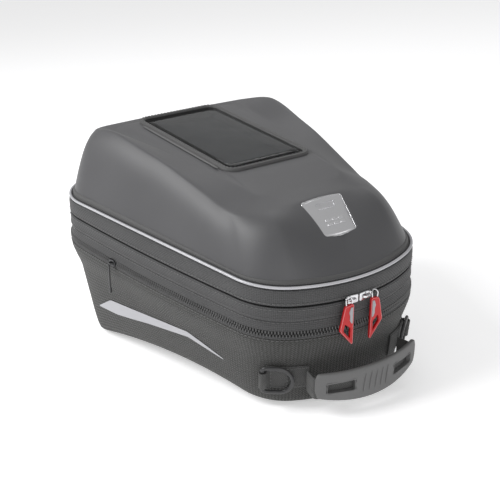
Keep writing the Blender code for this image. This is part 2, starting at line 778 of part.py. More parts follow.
def build_main_slider(side, parent):
    word = "left" if side < 0 else "right"
    angle = MEETING_ANGLE + side * SLIDER_SPREAD / (FRONT_RADIUS - 1.0)
    out2 = arc_normal(angle)
    along2 = Vector((math.cos(angle), math.sin(angle)))
    centre = RIM.front_centre + out2 * (FRONT_RADIUS - 0.5)
    travel = empty("main_slider_axis_" + word, parent,
                   (RIM.front_centre.x, RIM.front_centre.y, ZIP_LINE))
    local = centre - RIM.front_centre
    seat = turned(travel, "main_slider_seat_" + word, (local.x, local.y, 0.0),
                  (-along2.x, -along2.y, 0.0), (out2.x, out2.y, 0.0))
    slider_body("main_slider_" + word, "slider_metal", seat, SLIDER_LENGTH, SLIDER_HEIGHT, 3.7)

    # The seat's x points to the bag's left, so the pull's outer side is flipped
    shift = -side * (PULL_SPREAD - SLIDER_SPREAD)
    pull = empty("pull_axis_" + word, seat, (shift, PULL_STANDOFF, PULL_RISE))
    flip = -side
    low, bend = -PULL_DROP - 1.0, -PULL_DROP / 2
    wire = [(flip * -2.6, 0.0, low), (flip * -3.2, 0.0, bend), (flip * -2.4, 0.0, -0.6),
            (0.0, 0.0, 0.4), (flip * 2.4, 0.0, -0.6), (flip * 3.2, 0.0, bend),
            (flip * 2.6, 0.0, low)]
    tube("pull_link_" + word, wire, 0.55, "slider_metal", pull, sides=6)

    top = -PULL_DROP
    outline = [(flip * x, top + z) for x, z in PULL_OUTLINE]
    tab = upright_prism("pull_tab_" + word, outline, -1.3, 1.3, "pull_rubber", pull)
    hole = [(flip * x, top + z) for x, z in PULL_HOLE]
    cut(tab, as_cutter(upright_prism("pull_hole_" + word, hole, -4.0, 4.0, None, pull)))
    for sign in (-1, 1):
        socket = box(f"link_socket_{word}_{sign}", (sign * 2.6 - 0.9, -0.9, top - 1.6),
                     (sign * 2.6 + 0.9, 0.9, top + 4.0), None, pull)
        cut(tab, as_cutter(socket))
    inlay = [(flip * x, top + z) for x, z in INLAY_OUTLINE]
    upright_prism("pull_inlay_" + word, inlay, 1.3 + CLEAR, 1.9, "pull_inlay", pull)


def expansion_arc():
    # Radius and centre of the gentle arc that the bowed left side follows
    half = RIM.side_length / 2
    radius = half * half / (2.0 * SIDE_SWELL) + SIDE_SWELL / 2
    middle, normal = RIM.at(half)
    crest = middle + normal * SIDE_SWELL
    return radius, crest - normal * radius


def build_expansion_slider(parent):
    radius, centre = expansion_arc()
    point, _ = RIM.at(EXPANSION_SLIDER_S)
    point = point + arc_normal(RIM.side_angle) * swell(EXPANSION_LINE) * side_bow(
        EXPANSION_SLIDER_S / RIM.side_length)
    out2 = (point - centre).normalized()
    point = point + out2 * 0.7
    travel = empty("expansion_slider_axis", parent, (-centre.x, centre.y, EXPANSION_LINE))
    local = Vector((-point.x + centre.x, point.y - centre.y))
    along = Vector((out2.y, out2.x))
    seat = turned(travel, "expansion_slider_seat", (local.x, local.y, 0.0),
                  (along.x, along.y, 0.0), (-out2.x, out2.y, 0.0))
    slider_body("expansion_slider", "slider_metal", seat, 9.5, 7.5, 2.6)
    pull = empty("expansion_pull_axis", seat, (0.0, 5.6, 0.0))
    cord = [(0.0, 0.0, -1.0), (0.0, 0.1, -8.0), (0.0, 0.0, -18.0), (0.0, 0.0, -EXPANSION_PULL)]
    tube("expansion_pull", cord, 0.95, "ring_plastic", pull, sides=6)


# ----------------------------------------------------- webbing, rings, handle

def wall_patch(name, edge_top, edge_low, stations, slot, parent, side, offset, thickness):
    # A thin panel that lies on the tub's wall between two edges
    mesh_data = bmesh.new()
    levels = 3
    layers = []
    for depth in (offset, offset + thickness):
        rows = []
        for s in stations:
            high = blend(edge_top, s)
            low = blend(edge_low, s)
            rows.append([mesh_data.verts.new(
                wall_point(s, low + (high - low) * k / levels, depth, side))
                for k in range(levels + 1)])
        layers.append(rows)
    inner, outer = layers
    last = len(stations) - 1
    for i in range(last):
        for k in range(levels):
            mesh_data.faces.new((outer[i][k], outer[i + 1][k], outer[i + 1][k + 1], outer[i][k + 1]))
            mesh_data.faces.new((inner[i][k], inner[i][k + 1], inner[i + 1][k + 1], inner[i + 1][k]))
        for k in (0, levels):
            mesh_data.faces.new((inner[i][k], inner[i + 1][k], outer[i + 1][k], outer[i][k]))
    for i in (0, last):
        for k in range(levels):
            mesh_data.faces.new((inner[i][k], outer[i][k], outer[i][k + 1], inner[i][k + 1]))
    return add_object(name, mesh_data, slot, parent)


def build_side_trim(side, parent):
    word = "left" if side < 0 else "right"
    stations = [-31.0 - 3.1 * i for i in range(14)]
    level_top = ((-200.0, WEBBING_TOP), (200.0, WEBBING_TOP))
    level_low = ((-200.0, WEBBING_LOW), (200.0, WEBBING_LOW))
    wall_patch("side_webbing_" + word, level_top, level_low, stations, "webbing", parent, side,
               0.9, WEBBING_THICKNESS)
    decal_top = ((21.0, -90.6), (70.0, -83.0), (195.0, -100.0), (220.0, -117.0))
    decal_low = ((21.0, -91.6), (70.0, -89.0), (130.0, -101.0), (188.0, -115.0), (220.0, -118.0))
    stations = [21.0 + 12.25 * i for i in range(5)] + [70.0 + 15.0 * i for i in range(1, 11)]
    wall_patch("side_decal_" + word, decal_top, decal_low, stations, "decal", parent, side,
               0.5, 0.5)


def ring_places(side):
    mid_level = (WEBBING_TOP + WEBBING_LOW) / 2 - 1.0
    bar = wall_point(RING_S, mid_level, RING_STANDOFF, side)
    nose = wall_point(RING_S - RING_REACH, mid_level, RING_STANDOFF, side)
    return bar, nose


def build_ring(side, parent, tub_parent):
    word = "left" if side < 0 else "right"
    bar, nose = ring_places(side)
    along = (nose - bar).normalized()
    wall_up = wall_point(RING_S, WEBBING_TOP, 0.0, side) - wall_point(RING_S, WEBBING_LOW, 0.0, side)
    outward = along.cross(wall_up).normalized() * -side
    seat = turned(parent, "ring_axis_" + word, bar, along, outward)
    half = RING_HEIGHT / 2
    nose_radius = half
    straight = RING_REACH - nose_radius - RING_WIRE
    path = [(0.0, 0.0, -half + 3.0), (0.0, 0.0, half - 3.0), (0.9, 0.0, half - 0.9),
            (3.0, 0.0, half), (straight, 0.0, half)]
    steps = 8
    for step in range(1, steps):
        angle = math.pi * step / steps
        path.append((straight + nose_radius * math.sin(angle), 0.0, half * math.cos(angle)))
    path += [(straight, 0.0, -half), (3.0, 0.0, -half), (0.9, 0.0, -half + 0.9)]
    tube("d_ring_" + word, path, RING_WIRE, "ring_plastic", seat, sides=8, closed=True)

    # A keeper tab behind the ring's bar, sewn to the tub's wall
    stations = [RING_S + 4.0 - 1.4 * i for i in range(5)]
    top = ((-200.0, -86.0), (200.0, -86.0))
    low = ((-200.0, -97.0), (200.0, -97.0))
    wall_patch("ring_keeper_" + word, top, low, stations, "webbing", tub_parent, side, 0.9, 1.6)


def handle_point(angle, radius, w):
    return Vector((radius * math.sin(angle), HANDLE_CENTRE_Y - radius * math.cos(angle), w))


def handle_low(angle):
    share = min(1.0, abs(angle) / HANDLE_ANGLE)
    return HANDLE_MID_LOW + (HANDLE_END_LOW - HANDLE_MID_LOW) * share * share


def build_handle(parent, axis_point):
    # The grip is a curved moulded plate with two slots through it
    mesh_data = bmesh.new()
    steps = 22
    inner_radius = HANDLE_RADIUS - HANDLE_THICKNESS
    rows = []
    for i in range(steps + 1):
        angle = -HANDLE_ANGLE + 2 * HANDLE_ANGLE * i / steps
        low = handle_low(angle)
        taper = 1.2 if i in (0, steps) else 0.0
        section = [(HANDLE_RADIUS, low + 1.2 + taper), (HANDLE_RADIUS, HANDLE_TOP - 1.2 - taper),
                   (HANDLE_RADIUS - 1.2, HANDLE_TOP - taper), (inner_radius, HANDLE_TOP - taper),
                   (inner_radius, low + taper), (HANDLE_RADIUS - 1.2, low + taper)]
        rows.append([handle_point(angle, radius, w) - axis_point for radius, w in section])
    grid = [[mesh_data.verts.new(point) for point in row] for row in rows]
    for first, second in zip(grid, grid[1:]):
        count = len(first)
        for k in range(count):
            m = (k + 1) % count
            mesh_data.faces.new((first[k], first[m], second[m], second[k]))
    mesh_data.faces.new(grid[0])
    mesh_data.faces.new(grid[-1])
    grip = add_object("handle_grip", mesh_data, "handle_rubber", parent)
    for side in (-1, 1):
        cutter = bmesh.new()
        loops = []
        for radius in (HANDLE_RADIUS - 8.0, HANDLE_RADIUS + 4.0):
            loop = []
            for i in range(5):
                angle = side * (SLOT_IN + (SLOT_OUT - SLOT_IN) * i / 4)
                loop.append(handle_point(angle, radius, SLOT_TOP) - axis_point)
            for i in range(4, -1, -1):
                angle = side * (SLOT_IN + (SLOT_OUT - SLOT_IN) * i / 4)
                loop.append(handle_point(angle, radius, SLOT_LOW) - axis_point)
            loops.append([cutter.verts.new(point) for point in loop])
        inner, outer = loops
        for i in range(len(inner)):
            j = (i + 1) % len(inner)
            cutter.faces.new((inner[i], inner[j], outer[j], outer[i]))
        for i in range(4):
            top, low = i, len(inner) - 1 - i
            cutter.faces.new((inner[top], inner[low], inner[low - 1], inner[top + 1]))
            cutter.faces.new((outer[top], outer[top + 1], outer[low - 1], outer[low]))
        word = "left" if side < 0 else "right"
        cut(grip, as_cutter(add_object("handle_slot_" + word, cutter, None, parent)))

    # One strap runs behind the grip and turns back to the bag at both ends
    strap_radius = inner_radius - CLEAR
    turn_angle = HANDLE_ANGLE - math.radians(0.8)
    middle = [handle_point(-turn_angle + 2 * turn_angle * i / 16, strap_radius, 0.0)
              for i in range(17)]
    end = middle[-1]
    tail = [Vector((end.x + 1.6, end.y + 2.2, 0.0)), Vector((end.x + 1.4, end.y + 6.0, 0.0)),
            Vector((ANCHOR.x + 1.2, ANCHOR.y - 0.6, 0.0))]
    path = [Vector((-p.x, p.y, 0.0)) for p in reversed(tail)] + middle + tail
    mesh_data = bmesh.new()
    strap_high, strap_low = WEBBING_TOP - 1.5, WEBBING_LOW + 1.0
    sections = []
    for i, point in enumerate(path):
        before, after = path[max(0, i - 1)], path[min(len(path) - 1, i + 1)]
        direction = (after - before).normalized()
        inward = Vector((-direction.y, direction.x, 0.0)) * WEBBING_THICKNESS
        corners = [point, point + inward]
        section = [Vector((corners[0].x, corners[0].y, strap_low)),
                   Vector((corners[1].x, corners[1].y, strap_low)),
                   Vector((corners[1].x, corners[1].y, strap_high)),
                   Vector((corners[0].x, corners[0].y, strap_high))]
        sections.append([mesh_data.verts.new(corner - axis_point) for corner in section])
    for first, second in zip(sections, sections[1:]):
        for k in range(4):
            m = (k + 1) % 4
            mesh_data.faces.new((first[k], first[m], second[m], second[k]))
    mesh_data.faces.new(sections[0])
    mesh_data.faces.new(sections[-1])
    add_object("handle_strap", mesh_data, "webbing", parent)


# ------------------------------------------- socket underneath, in world axes

def build_socket():
    middle_y = world_y(ARCH_CENTRE, socket_level(ARCH_CENTRE))
    centre = empty("socket_place", None, (0.0, middle_y, 0.0))
    top = ARCH_HEIGHT - CLEAR
    flange = prism("lock_flange", circle(SOCKET_RADIUS, 36), 0.0, top, "socket_plastic", centre)
    bore = as_cutter(prism("socket_bore", circle(SOCKET_BORE, 32), -2.0, top - SOCKET_ROOF,
                           None, centre))
    cut(flange, bore)
    half = LATCH_WIDTH / 2
    pocket_end = -SOCKET_RADIUS + LATCH_STOP_WALL
    low, high = LATCH_Z - CLEAR, LATCH_Z + LATCH_HEIGHT + CLEAR
    channel = box("latch_channel", (-half - CLEAR, pocket_end, low),
                  (half + CLEAR, -SOCKET_BORE + 6.0, high), None, centre)
    cut(flange, as_cutter(channel))
    neck_slot = box("latch_neck_slot", (-LATCH_NECK / 2 - CLEAR, -SOCKET_RADIUS - 4.0, low),
                    (LATCH_NECK / 2 + CLEAR, pocket_end + 2.0, high), None, centre)
    cut(flange, as_cutter(neck_slot))

    plate_low = ARCH_HEIGHT + TUB_WALL + CLEAR
    plate = prism("lock_backing_plate", circle(SOCKET_RADIUS + 1.0, 32), plate_low,
                  plate_low + 2.0, "socket_plastic", centre)
    holes = []
    screws = []
    for index in range(4):
        angle = math.radians(45 + 90 * index)
        spot = (SCREW_CIRCLE * math.cos(angle), SCREW_CIRCLE * math.sin(angle))
        holes.append(circle(SCREW_RADIUS + CLEAR, 12, spot))
        screws.append(spot)
    drill_data = bmesh.new()
    for plan in holes:
        low = [drill_data.verts.new((x, y, 9.0)) for x, y in plan]
        high = [drill_data.verts.new((x, y, 34.0)) for x, y in plan]
        drill_data.faces.new(low)
        drill_data.faces.new(high)
        for i in range(len(plan)):
            j = (i + 1) % len(plan)
            drill_data.faces.new((low[i], low[j], high[j], high[i]))
    drill = as_cutter(add_object("screw_holes", drill_data, None, centre))
    cut(flange, drill)
    cut(plate, drill)

    head_low = plate_low + 2.0 + CLEAR
    for index, spot in enumerate(screws):
        screw_data = bmesh.new()
        loops = [(SCREW_RADIUS, 9.6), (SCREW_RADIUS, head_low), (SCREW_HEAD, head_low),
                 (SCREW_HEAD, head_low + 1.4), (SCREW_HEAD - 1.2, head_low + 2.4)]
        rows = skin(screw_data, [[Vector((x, y, z)) for x, y in circle(r, 12, spot)]
                                 for r, z in loops])
        screw_data.faces.new(rows[0])
        screw_data.faces.new(rows[-1])
        add_object(f"flange_screw_{index + 1}", screw_data, "steel", centre)

    slide = empty("latch_axis", centre, (0.0, -SOCKET_BORE, LATCH_Z + LATCH_HEIGHT / 2))
    thick = LATCH_HEIGHT / 2
    chamfer = 2.0
    prism("latch_bolt", [(-half, -LATCH_BACK), (half, -LATCH_BACK), (half, LATCH_REACH - chamfer),
                         (half - chamfer, LATCH_REACH), (-half + chamfer, LATCH_REACH),
                         (-half, LATCH_REACH - chamfer)], -thick, thick, "socket_plastic", slide)
    neck = LATCH_NECK / 2
    shoulder = -(SOCKET_RADIUS - SOCKET_BORE) - LATCH_REACH - 2.0
    pad_end = shoulder - 14.0
    prism("latch_tab", [(-neck, -LATCH_BACK - CLEAR), (-neck, shoulder), (-9.0, shoulder - 2.0),
                        (-9.0, pad_end), (9.0, pad_end), (9.0, shoulder - 2.0), (neck, shoulder),
                        (neck, -LATCH_BACK - CLEAR)], -thick, thick, "pull_rubber", slide)
    spring_x = (half + neck) / 2
    start, end = pocket_end + 0.6, -SOCKET_BORE - LATCH_BACK - 0.6
    turns, steps = 4, 6
    for side, word in ((-1, "left"), (1, "right")):
        path = []
        for step in range(turns * steps + 1):
            angle = 2 * math.pi * step / steps
            path.append((side * spring_x + 1.3 * math.cos(angle),
                         start + (end - start) * step / (turns * steps),
                         LATCH_Z + thick + 1.3 * math.sin(angle)))
        tube("latch_spring_" + word, path, 0.3, "steel", centre, sides=6)
    return drill


# ------------------------------------------------------------------- assembly

def main():
    tilt = Matrix.Rotation(RIM_TILT, 4, "X")
    rim_place = Matrix.Translation(Vector((0.0, RIM_SHIFT, RIM_HEIGHT)) * MM) @ tilt
    tub_frame = empty("tub_frame", matrix=rim_place)
    middle_frame = empty("middle_frame", tub_frame)
    hinge_point = Vector((0.0, REAR_Y + CLEAR + 2.2, ZIP_LINE))
    lid_axis = empty("lid_axis", middle_frame, hinge_point)
    lid_frame = empty("lid_frame", lid_axis, -hinge_point)

    screw_holes = build_socket()
    build_tub(tub_frame, screw_holes)
    build_tub_bands(tub_frame)
    build_middle_bands(middle_frame)
    build_lid_bands(lid_frame)
    build_hinge_tapes(lid_frame, middle_frame)
    window_hole = build_window(lid_frame)
    badge_seat = build_badge(lid_frame)
    build_dome(lid_frame, window_hole, badge_seat)
    build_expansion_slider(tub_frame)
    for side in (-1, 1):
        build_main_slider(side, middle_frame)
        build_side_trim(side, tub_frame)
        build_ring(side, tub_frame, tub_frame)
    axis_point = Vector((0.0, ANCHOR.y, ANCHOR.z))
    handle_axis = empty("handle_axis", tub_frame, axis_point)
    build_handle(handle_axis, axis_point)


main()
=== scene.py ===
import math

import bmesh
import bpy
from mathutils import Matrix, Vector
from mathutils.bvhtree import BVHTree


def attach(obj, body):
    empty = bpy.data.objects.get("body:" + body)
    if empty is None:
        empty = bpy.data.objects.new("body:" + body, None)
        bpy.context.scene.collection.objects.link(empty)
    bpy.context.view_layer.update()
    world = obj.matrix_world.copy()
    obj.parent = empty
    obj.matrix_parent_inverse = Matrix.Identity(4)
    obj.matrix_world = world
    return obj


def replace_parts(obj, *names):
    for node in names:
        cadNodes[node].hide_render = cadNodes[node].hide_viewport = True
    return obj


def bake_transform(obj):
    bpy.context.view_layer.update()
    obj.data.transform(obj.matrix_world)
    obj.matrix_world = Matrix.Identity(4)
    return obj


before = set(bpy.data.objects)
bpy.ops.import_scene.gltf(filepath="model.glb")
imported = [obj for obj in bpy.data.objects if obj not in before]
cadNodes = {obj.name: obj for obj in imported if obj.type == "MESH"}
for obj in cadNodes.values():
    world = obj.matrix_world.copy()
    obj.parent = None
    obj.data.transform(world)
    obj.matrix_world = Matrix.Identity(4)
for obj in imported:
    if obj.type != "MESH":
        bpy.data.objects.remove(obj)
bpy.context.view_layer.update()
print("frame loaded")

# The bag is laid out in millimetres in the plane of its piping, which leans 7.9 degrees
mm = 0.001
lean = math.radians(7.9)
rimPlace = Matrix.Translation((0, -0.02736, 0.138)) @ Matrix.Rotation(lean, 4, "X")
toWorld = rimPlace @ Matrix.Scale(mm, 4)


# ---- camera, light and floor

camera = {"azimuth": -33.68, "elevation": 25.78, "distance": 997.5, "across": -19.1, "up": 66.9,
          "aimLevel": -105.7, "lens": 71.57}


def placeCamera(view):
    turn = math.radians(view["azimuth"])
    rise = math.radians(view["elevation"])
    back = Vector((math.sin(turn) * math.cos(rise), -math.cos(turn) * math.cos(rise), math.sin(rise)))
    right = Vector((math.cos(turn), math.sin(turn), 0))
    upward = back.cross(right)
    spot = back * view["distance"] + right * view["across"] + upward * view["up"]
    spot.z += view["aimLevel"]
    axes = Matrix((right, upward, back)).transposed().to_4x4()
    data = bpy.data.cameras.new("camera")
    data.lens = view["lens"]
    item = bpy.data.objects.new("camera", data)
    bpy.context.scene.collection.objects.link(item)
    item.matrix_world = rimPlace @ Matrix.Translation(spot * mm) @ axes
    bpy.context.scene.camera = item


placeCamera(camera)

studio = {"world": 0.42,
          "key": {"place": (-1.7, 0.7, 1.75), "size": 1.2, "power": 42},
          "fill": {"place": (-0.7, -2.1, 0.5), "size": 1.4, "power": 11},
          "top": {"place": (0.7, 0.9, 2.0), "size": 1.2, "power": 6}}


def softLamp(name, place, size, power):
    data = bpy.data.lights.new(name, "AREA")
    data.size = size
    data.energy = power
    item = bpy.data.objects.new(name, data)
    bpy.context.scene.collection.objects.link(item)
    item.location = place
    item.rotation_mode = "QUATERNION"
    item.rotation_quaternion = (Vector(place) - Vector((0, 0, 0.1))).to_track_quat("Z", "Y")


for lampName in ("key", "fill", "top"):
    softLamp(lampName, studio[lampName]["place"], studio[lampName]["size"], studio[lampName]["power"])

skyWorld = bpy.data.worlds.new("studio")
bpy.context.scene.world = skyWorld
skyWorld.use_nodes = True
skyWorld.node_tree.nodes["Background"].inputs["Color"].default_value = (1, 1, 1, 1)
skyWorld.node_tree.nodes["Background"].inputs["Strength"].default_value = studio["world"]
bpy.context.scene.view_settings.view_transform = "Standard"
print("camera and light")


# ---- materials

def linearColour(text):
    channels = [int(text[i:i + 2], 16) / 255 for i in (1, 3, 5)]
    return (*[c / 12.92 if c <= 0.04045 else ((c + 0.055) / 1.055) ** 2.4 for c in channels], 1)


def addNode(tree, kind, settings, links):
    made = tree.nodes.new(kind)
    for key, value in settings.items():
        if isinstance(key, str) and hasattr(made, key):
            setattr(made, key, value)
        else:
            made.inputs[key].default_value = value
    for key, source in links.items():
        tree.links.new(source, made.inputs[key])
    return made


def newFinish(name, sockets):
    made = bpy.data.materials.new(name)
    made.use_nodes = True
    tree = made.node_tree
    shader = tree.nodes["Principled BSDF"]
    for key, value in sockets.items():
        shader.inputs[key].default_value = value
    return made, tree, shader


def bodyPoint(tree):  # place on the object, in millimetres
    spot = addNode(tree, "ShaderNodeTexCoord", {}, {})
    return addNode(tree, "ShaderNodeVectorMath", {"operation": "SCALE", "Scale": 1000},
                   {0: spot.outputs["Object"]}).outputs["Vector"]


def clothPoint(tree):  # place on the unrolled cloth, in millimetres
    return addNode(tree, "ShaderNodeUVMap", {"uv_map": "cloth"}, {}).outputs["UV"]


def twoTone(tree, fac, dark, light):
    return addNode(tree, "ShaderNodeMix", {"data_type": "RGBA", 6: linearColour(dark),
                                           7: linearColour(light)},
                   {0: fac}).outputs[2]


def raiseSurface(tree, shader, height, depth, strength=1.0):
    bump = addNode(tree, "ShaderNodeBump", {"Strength": strength, "Distance": depth * mm},
                   {"Height": height})
    tree.links.new(bump.outputs["Normal"], shader.inputs["Normal"])


def plainWeave(tree, point, thread, turn):
    # over and under of a plain weave: each cell shows one thread, rounded across its width
    cells = addNode(tree, "ShaderNodeMapping",
                    {"Rotation": (0, 0, math.radians(turn)), "Scale": (1 / thread, 1 / thread, 1)},
                    {"Vector": point}).outputs["Vector"]
    over = addNode(tree, "ShaderNodeTexChecker", {"Scale": 1.0}, {"Vector": cells})
    warp = addNode(tree, "ShaderNodeTexWave", {"bands_direction": "X", "Scale": math.pi / 10},
                   {"Vector": cells})
    weft = addNode(tree, "ShaderNodeTexWave", {"bands_direction": "Y", "Scale": math.pi / 10},
                   {"Vector": cells})
    return addNode(tree, "ShaderNodeMix", {},
                   {0: over.outputs["Fac"], 2: warp.outputs["Fac"], 3: weft.outputs["Fac"]}).outputs[0]


def fabricFinish(name, dark, light, thread, turn, depth, rough):
    made, tree, shader = newFinish(name, {"Roughness": rough, "Sheen Weight": 0.12, "Sheen Roughness": 0.5})
    weave = plainWeave(tree, clothPoint(tree), thread, turn)
    cloud = addNode(tree, "ShaderNodeTexNoise", {"Scale": 0.9, "Detail": 3.0}, {"Vector": bodyPoint(tree)})
    blotch = addNode(tree, "ShaderNodeTexNoise", {"Scale": 0.03, "Detail": 2.0},
                     {"Vector": bodyPoint(tree)})
    uneven = addNode(tree, "ShaderNodeMix", {0: 0.35}, {2: weave, 3: cloud.outputs["Fac"]}).outputs[0]
    worn = addNode(tree, "ShaderNodeMix", {0: 0.2}, {2: uneven, 3: blotch.outputs["Fac"]}).outputs[0]
    tree.links.new(twoTone(tree, worn, dark, light), shader.inputs["Base Color"])
    raiseSurface(tree, shader, weave, depth)
    return made


def ribbedFinish(name, dark, light, pitch, run, depth, rough):
    # herringbone: ribs that slant one way and then the other across the width
    made, tree, shader = newFinish(name, {"Roughness": rough, "Sheen Weight": 0.1})
    split = addNode(tree, "ShaderNodeSeparateXYZ", {}, {0: clothPoint(tree)})
    slant = addNode(tree, "ShaderNodeMath", {"operation": "PINGPONG", 1: run}, {0: split.outputs["Y"]})
    ride = addNode(tree, "ShaderNodeMath", {"operation": "ADD"},
                   {0: split.outputs["X"], 1: slant.outputs[0]})
    along = addNode(tree, "ShaderNodeCombineXYZ", {}, {0: ride.outputs[0]})
    rib = addNode(tree, "ShaderNodeTexWave", {"bands_direction": "X", "Scale": math.pi / 10 / pitch},
                  {"Vector": along.outputs[0]})
    cloud = addNode(tree, "ShaderNodeTexNoise", {"Scale": 0.5, "Detail": 2.0}, {"Vector": bodyPoint(tree)})
    tone = addNode(tree, "ShaderNodeMix", {0: 0.3}, {2: rib.outputs["Fac"],
                                                     3: cloud.outputs["Fac"]}).outputs[0]
    tree.links.new(twoTone(tree, tone, dark, light), shader.inputs["Base Color"])
    raiseSurface(tree, shader, rib.outputs["Fac"], depth)
    return made


def mouldedFinish(name, dark, light, grain, depth, rough, sockets):
    # moulded surface with a fine spark-eroded grain and a slow drift in tone
    made, tree, shader = newFinish(name, {"Roughness": rough, **sockets})
    point = bodyPoint(tree)
    pores = addNode(tree, "ShaderNodeTexNoise", {"Scale": 1 / grain, "Detail": 2.0}, {"Vector": point})
    drift = addNode(tree, "ShaderNodeTexNoise", {"Scale": 0.02, "Detail": 2.0}, {"Vector": point})
    tone = addNode(tree, "ShaderNodeMix", {0: 0.6}, {2: pores.outputs["Fac"],
                                                     3: drift.outputs["Fac"]}).outputs[0]
    tree.links.new(twoTone(tree, tone, dark, light), shader.inputs["Base Color"])
    shine = addNode(tree, "ShaderNodeMapRange", {"To Min": rough - 0.05, "To Max": rough + 0.05},
                    {"Value": drift.outputs["Fac"]})
    tree.links.new(shine.outputs["Result"], shader.inputs["Roughness"])
    raiseSurface(tree, shader, pores.outputs["Fac"], depth)
    return made


def metalFinish(name, colour, rough, brush, depth):
    # drawn or brushed metal: streaks run along x, so the highlight breaks into fine lines
    made, tree, shader = newFinish(name, {"Base Color": linearColour(colour), "Metallic": 1.0,
                                          "Roughness": rough})
    streak = addNode(tree, "ShaderNodeMapping", {"Scale": (0.06 / brush, 1 / brush, 1 / brush)},
                     {"Vector": bodyPoint(tree)})
    lines = addNode(tree, "ShaderNodeTexNoise", {"Scale": 1.0, "Detail": 3.0},
                    {"Vector": streak.outputs[0]})
    shine = addNode(tree, "ShaderNodeMapRange", {"To Min": rough * 0.75, "To Max": rough * 1.3},
                    {"Value": lines.outputs["Fac"]})
    tree.links.new(shine.outputs["Result"], shader.inputs["Roughness"])
    raiseSurface(tree, shader, lines.outputs["Fac"], depth)
    return made


# EVA foam pressed under a rubbery film: satin, soft highlights, a grain of about 0.6 mm
domeEva = mouldedFinish("pressedEva", "#444446", "#515153", 0.6, 0.03, 0.46, {"Sheen Weight": 0.1})
# 1680D ballistic nylon: thick yarns, 0.9 mm in truth and drawn coarser at 2.2 mm so that they show
tubFabric = fabricFinish("ballisticNylon", "#111110", "#4c4c4a", 2.2, 45, 0.5, 0.8)
# the finer 600D polyester of the bands, yarns 0.6 mm in truth and drawn coarser at 1.6 mm
bandFabric = fabricFinish("polyesterBand", "#202020", "#59595a", 1.6, 0, 0.28, 0.8)
# coated polyester lining, smooth and darker, seen when the lid is open
liningFabric = fabricFinish("coatedLining", "#242425", "#343436", 1.2, 0, 0.05, 0.6)
# knitted zip tape: fine herringbone ribs
zipTape = ribbedFinish("zipTape", "#0c0c0c", "#1e1e1e", 1.2, 3.0, 0.08, 0.8)
# polyamide webbing: herringbone of thick yarns, ribs 1.8 mm apart
beltWebbing = ribbedFinish("polyamideWebbing", "#2c2c2c", "#565655", 1.8, 5.8, 0.25, 0.8)
# nylon coil: smooth moulded filament with a dull shine on each turn
coilNylon = mouldedFinish("nylonCoil", "#141414", "#262626", 0.8, 0.02, 0.42, {})
# the expansion zip's coil is a grey nylon, so its turns stand out from the dark gap
greyNylon = mouldedFinish("greyNylonCoil", "#4c4c4c", "#6a6a6a", 0.8, 0.02, 0.4, {})
# bonded polyester thread, a touch lighter than the cloth
seamThread = mouldedFinish("polyesterThread", "#4a4a4a", "#6a6a6a", 0.4, 0.05, 0.6, {"Sheen Weight": 0.3})
# glass bead reflective piping: pale silver with a fine sparkle
reflectPiping = mouldedFinish("reflectivePiping", "#a4a4a8", "#c8c8cc", 0.5, 0.03, 0.35, {"Metallic": 0.15})
# screen printed reflective film: pale grey and nearly flat
reflectFilm = mouldedFinish("reflectiveFilm", "#9e9ea2", "#b6b6ba", 0.7, 0.02, 0.4, {})
# soft moulded TPR of the grip: matte, its tone drifting a little at random
gripRubber = mouldedFinish("softTpr", "#565656", "#6c6c6c", 0.5, 0.05, 0.55, {})
# acetal D-ring: dark with a crisp moulded shine
ringAcetal = mouldedFinish("acetal", "#2c2c2d", "#3a3a3b", 0.7, 0.01, 0.28, {})
# zinc die casting with a bright nickel coat
nickelZinc = metalFinish("nickelPlatedZinc", "#d8d8da", 0.2, 0.4, 0.01)
# blackened zinc of the expansion slider: dark, so that only its edges shine
blackZinc = metalFinish("blackenedZinc", "#4a4a4b", 0.3, 0.4, 0.01)
# brushed anodised aluminium, satin with fine lines across the plate
satinAluminium = metalFinish("brushedAluminium", "#e4e4e6", 0.36, 0.25, 0.012)
# red moulded TPU of the pulls, fairly glossy; their pale edges are a painted highlight drawn by a separate
# paler tube
redTpu = mouldedFinish("redTpu", "#a40409", "#c20a10", 0.5, 0.015, 0.4, {})
# painted highlight: a paler red for a thin tube round each pull's edge, standing in for the shine along its
# bevel
paintedHighlightTpu = mouldedFinish("paintedHighlightRedTpu", "#c8585c", "#dc8486", 0.5, 0.01, 0.25, {})
# grey print on the pulls
greyTpu = mouldedFinish("greyTpu", "#8c8c90", "#a8a8ac", 0.5, 0.015, 0.35, {})
# rubberised trim fabric of the window's frame
trimFabric = fabricFinish("rubberisedTrim", "#3e3e3e", "#565656", 0.9, 45, 0.05, 0.6)
# fleece lining of the pocket: dark, no shine
pocketFleece = mouldedFinish("pocketFleece", "#101011", "#1c1c1d", 0.8, 0.2, 0.95, {"Sheen Weight": 0.3})
# glass filled nylon of the socket: dark, with a coarse moulded grain
socketNylon = mouldedFinish("glassFilledNylon", "#222223", "#303031", 0.9, 0.03, 0.48, {})
zincSteel = metalFinish("zincPlatedSteel", "#b4b4b0", 0.3, 0.5, 0.01)
# clear TPU window: a thin clear sheet that mirrors the studio
clearTpu, clearTree, clearShader = newFinish("clearTpu",
                                             {"Base Color": linearColour("#a9adb0"), "Roughness": 0.06,
                                             "IOR": 1.4, "Transmission Weight": 1.0})
ripple = addNode(clearTree, "ShaderNodeTexNoise", {"Scale": 0.035, "Detail": 1.0},
                 {"Vector": bodyPoint(clearTree)})
raiseSurface(clearTree, clearShader, ripple.outputs["Fac"], 0.6)
# matt painted floor
floorPaint = mouldedFinish("paintedFloor", "#f2f2f3", "#f6f6f7", 30.0, 0.02, 0.9,
                           {"Specular IOR Level": 0.1, "Emission Color": (1, 1, 1, 1),
                            "Emission Strength": 0.42})
print("materials made")

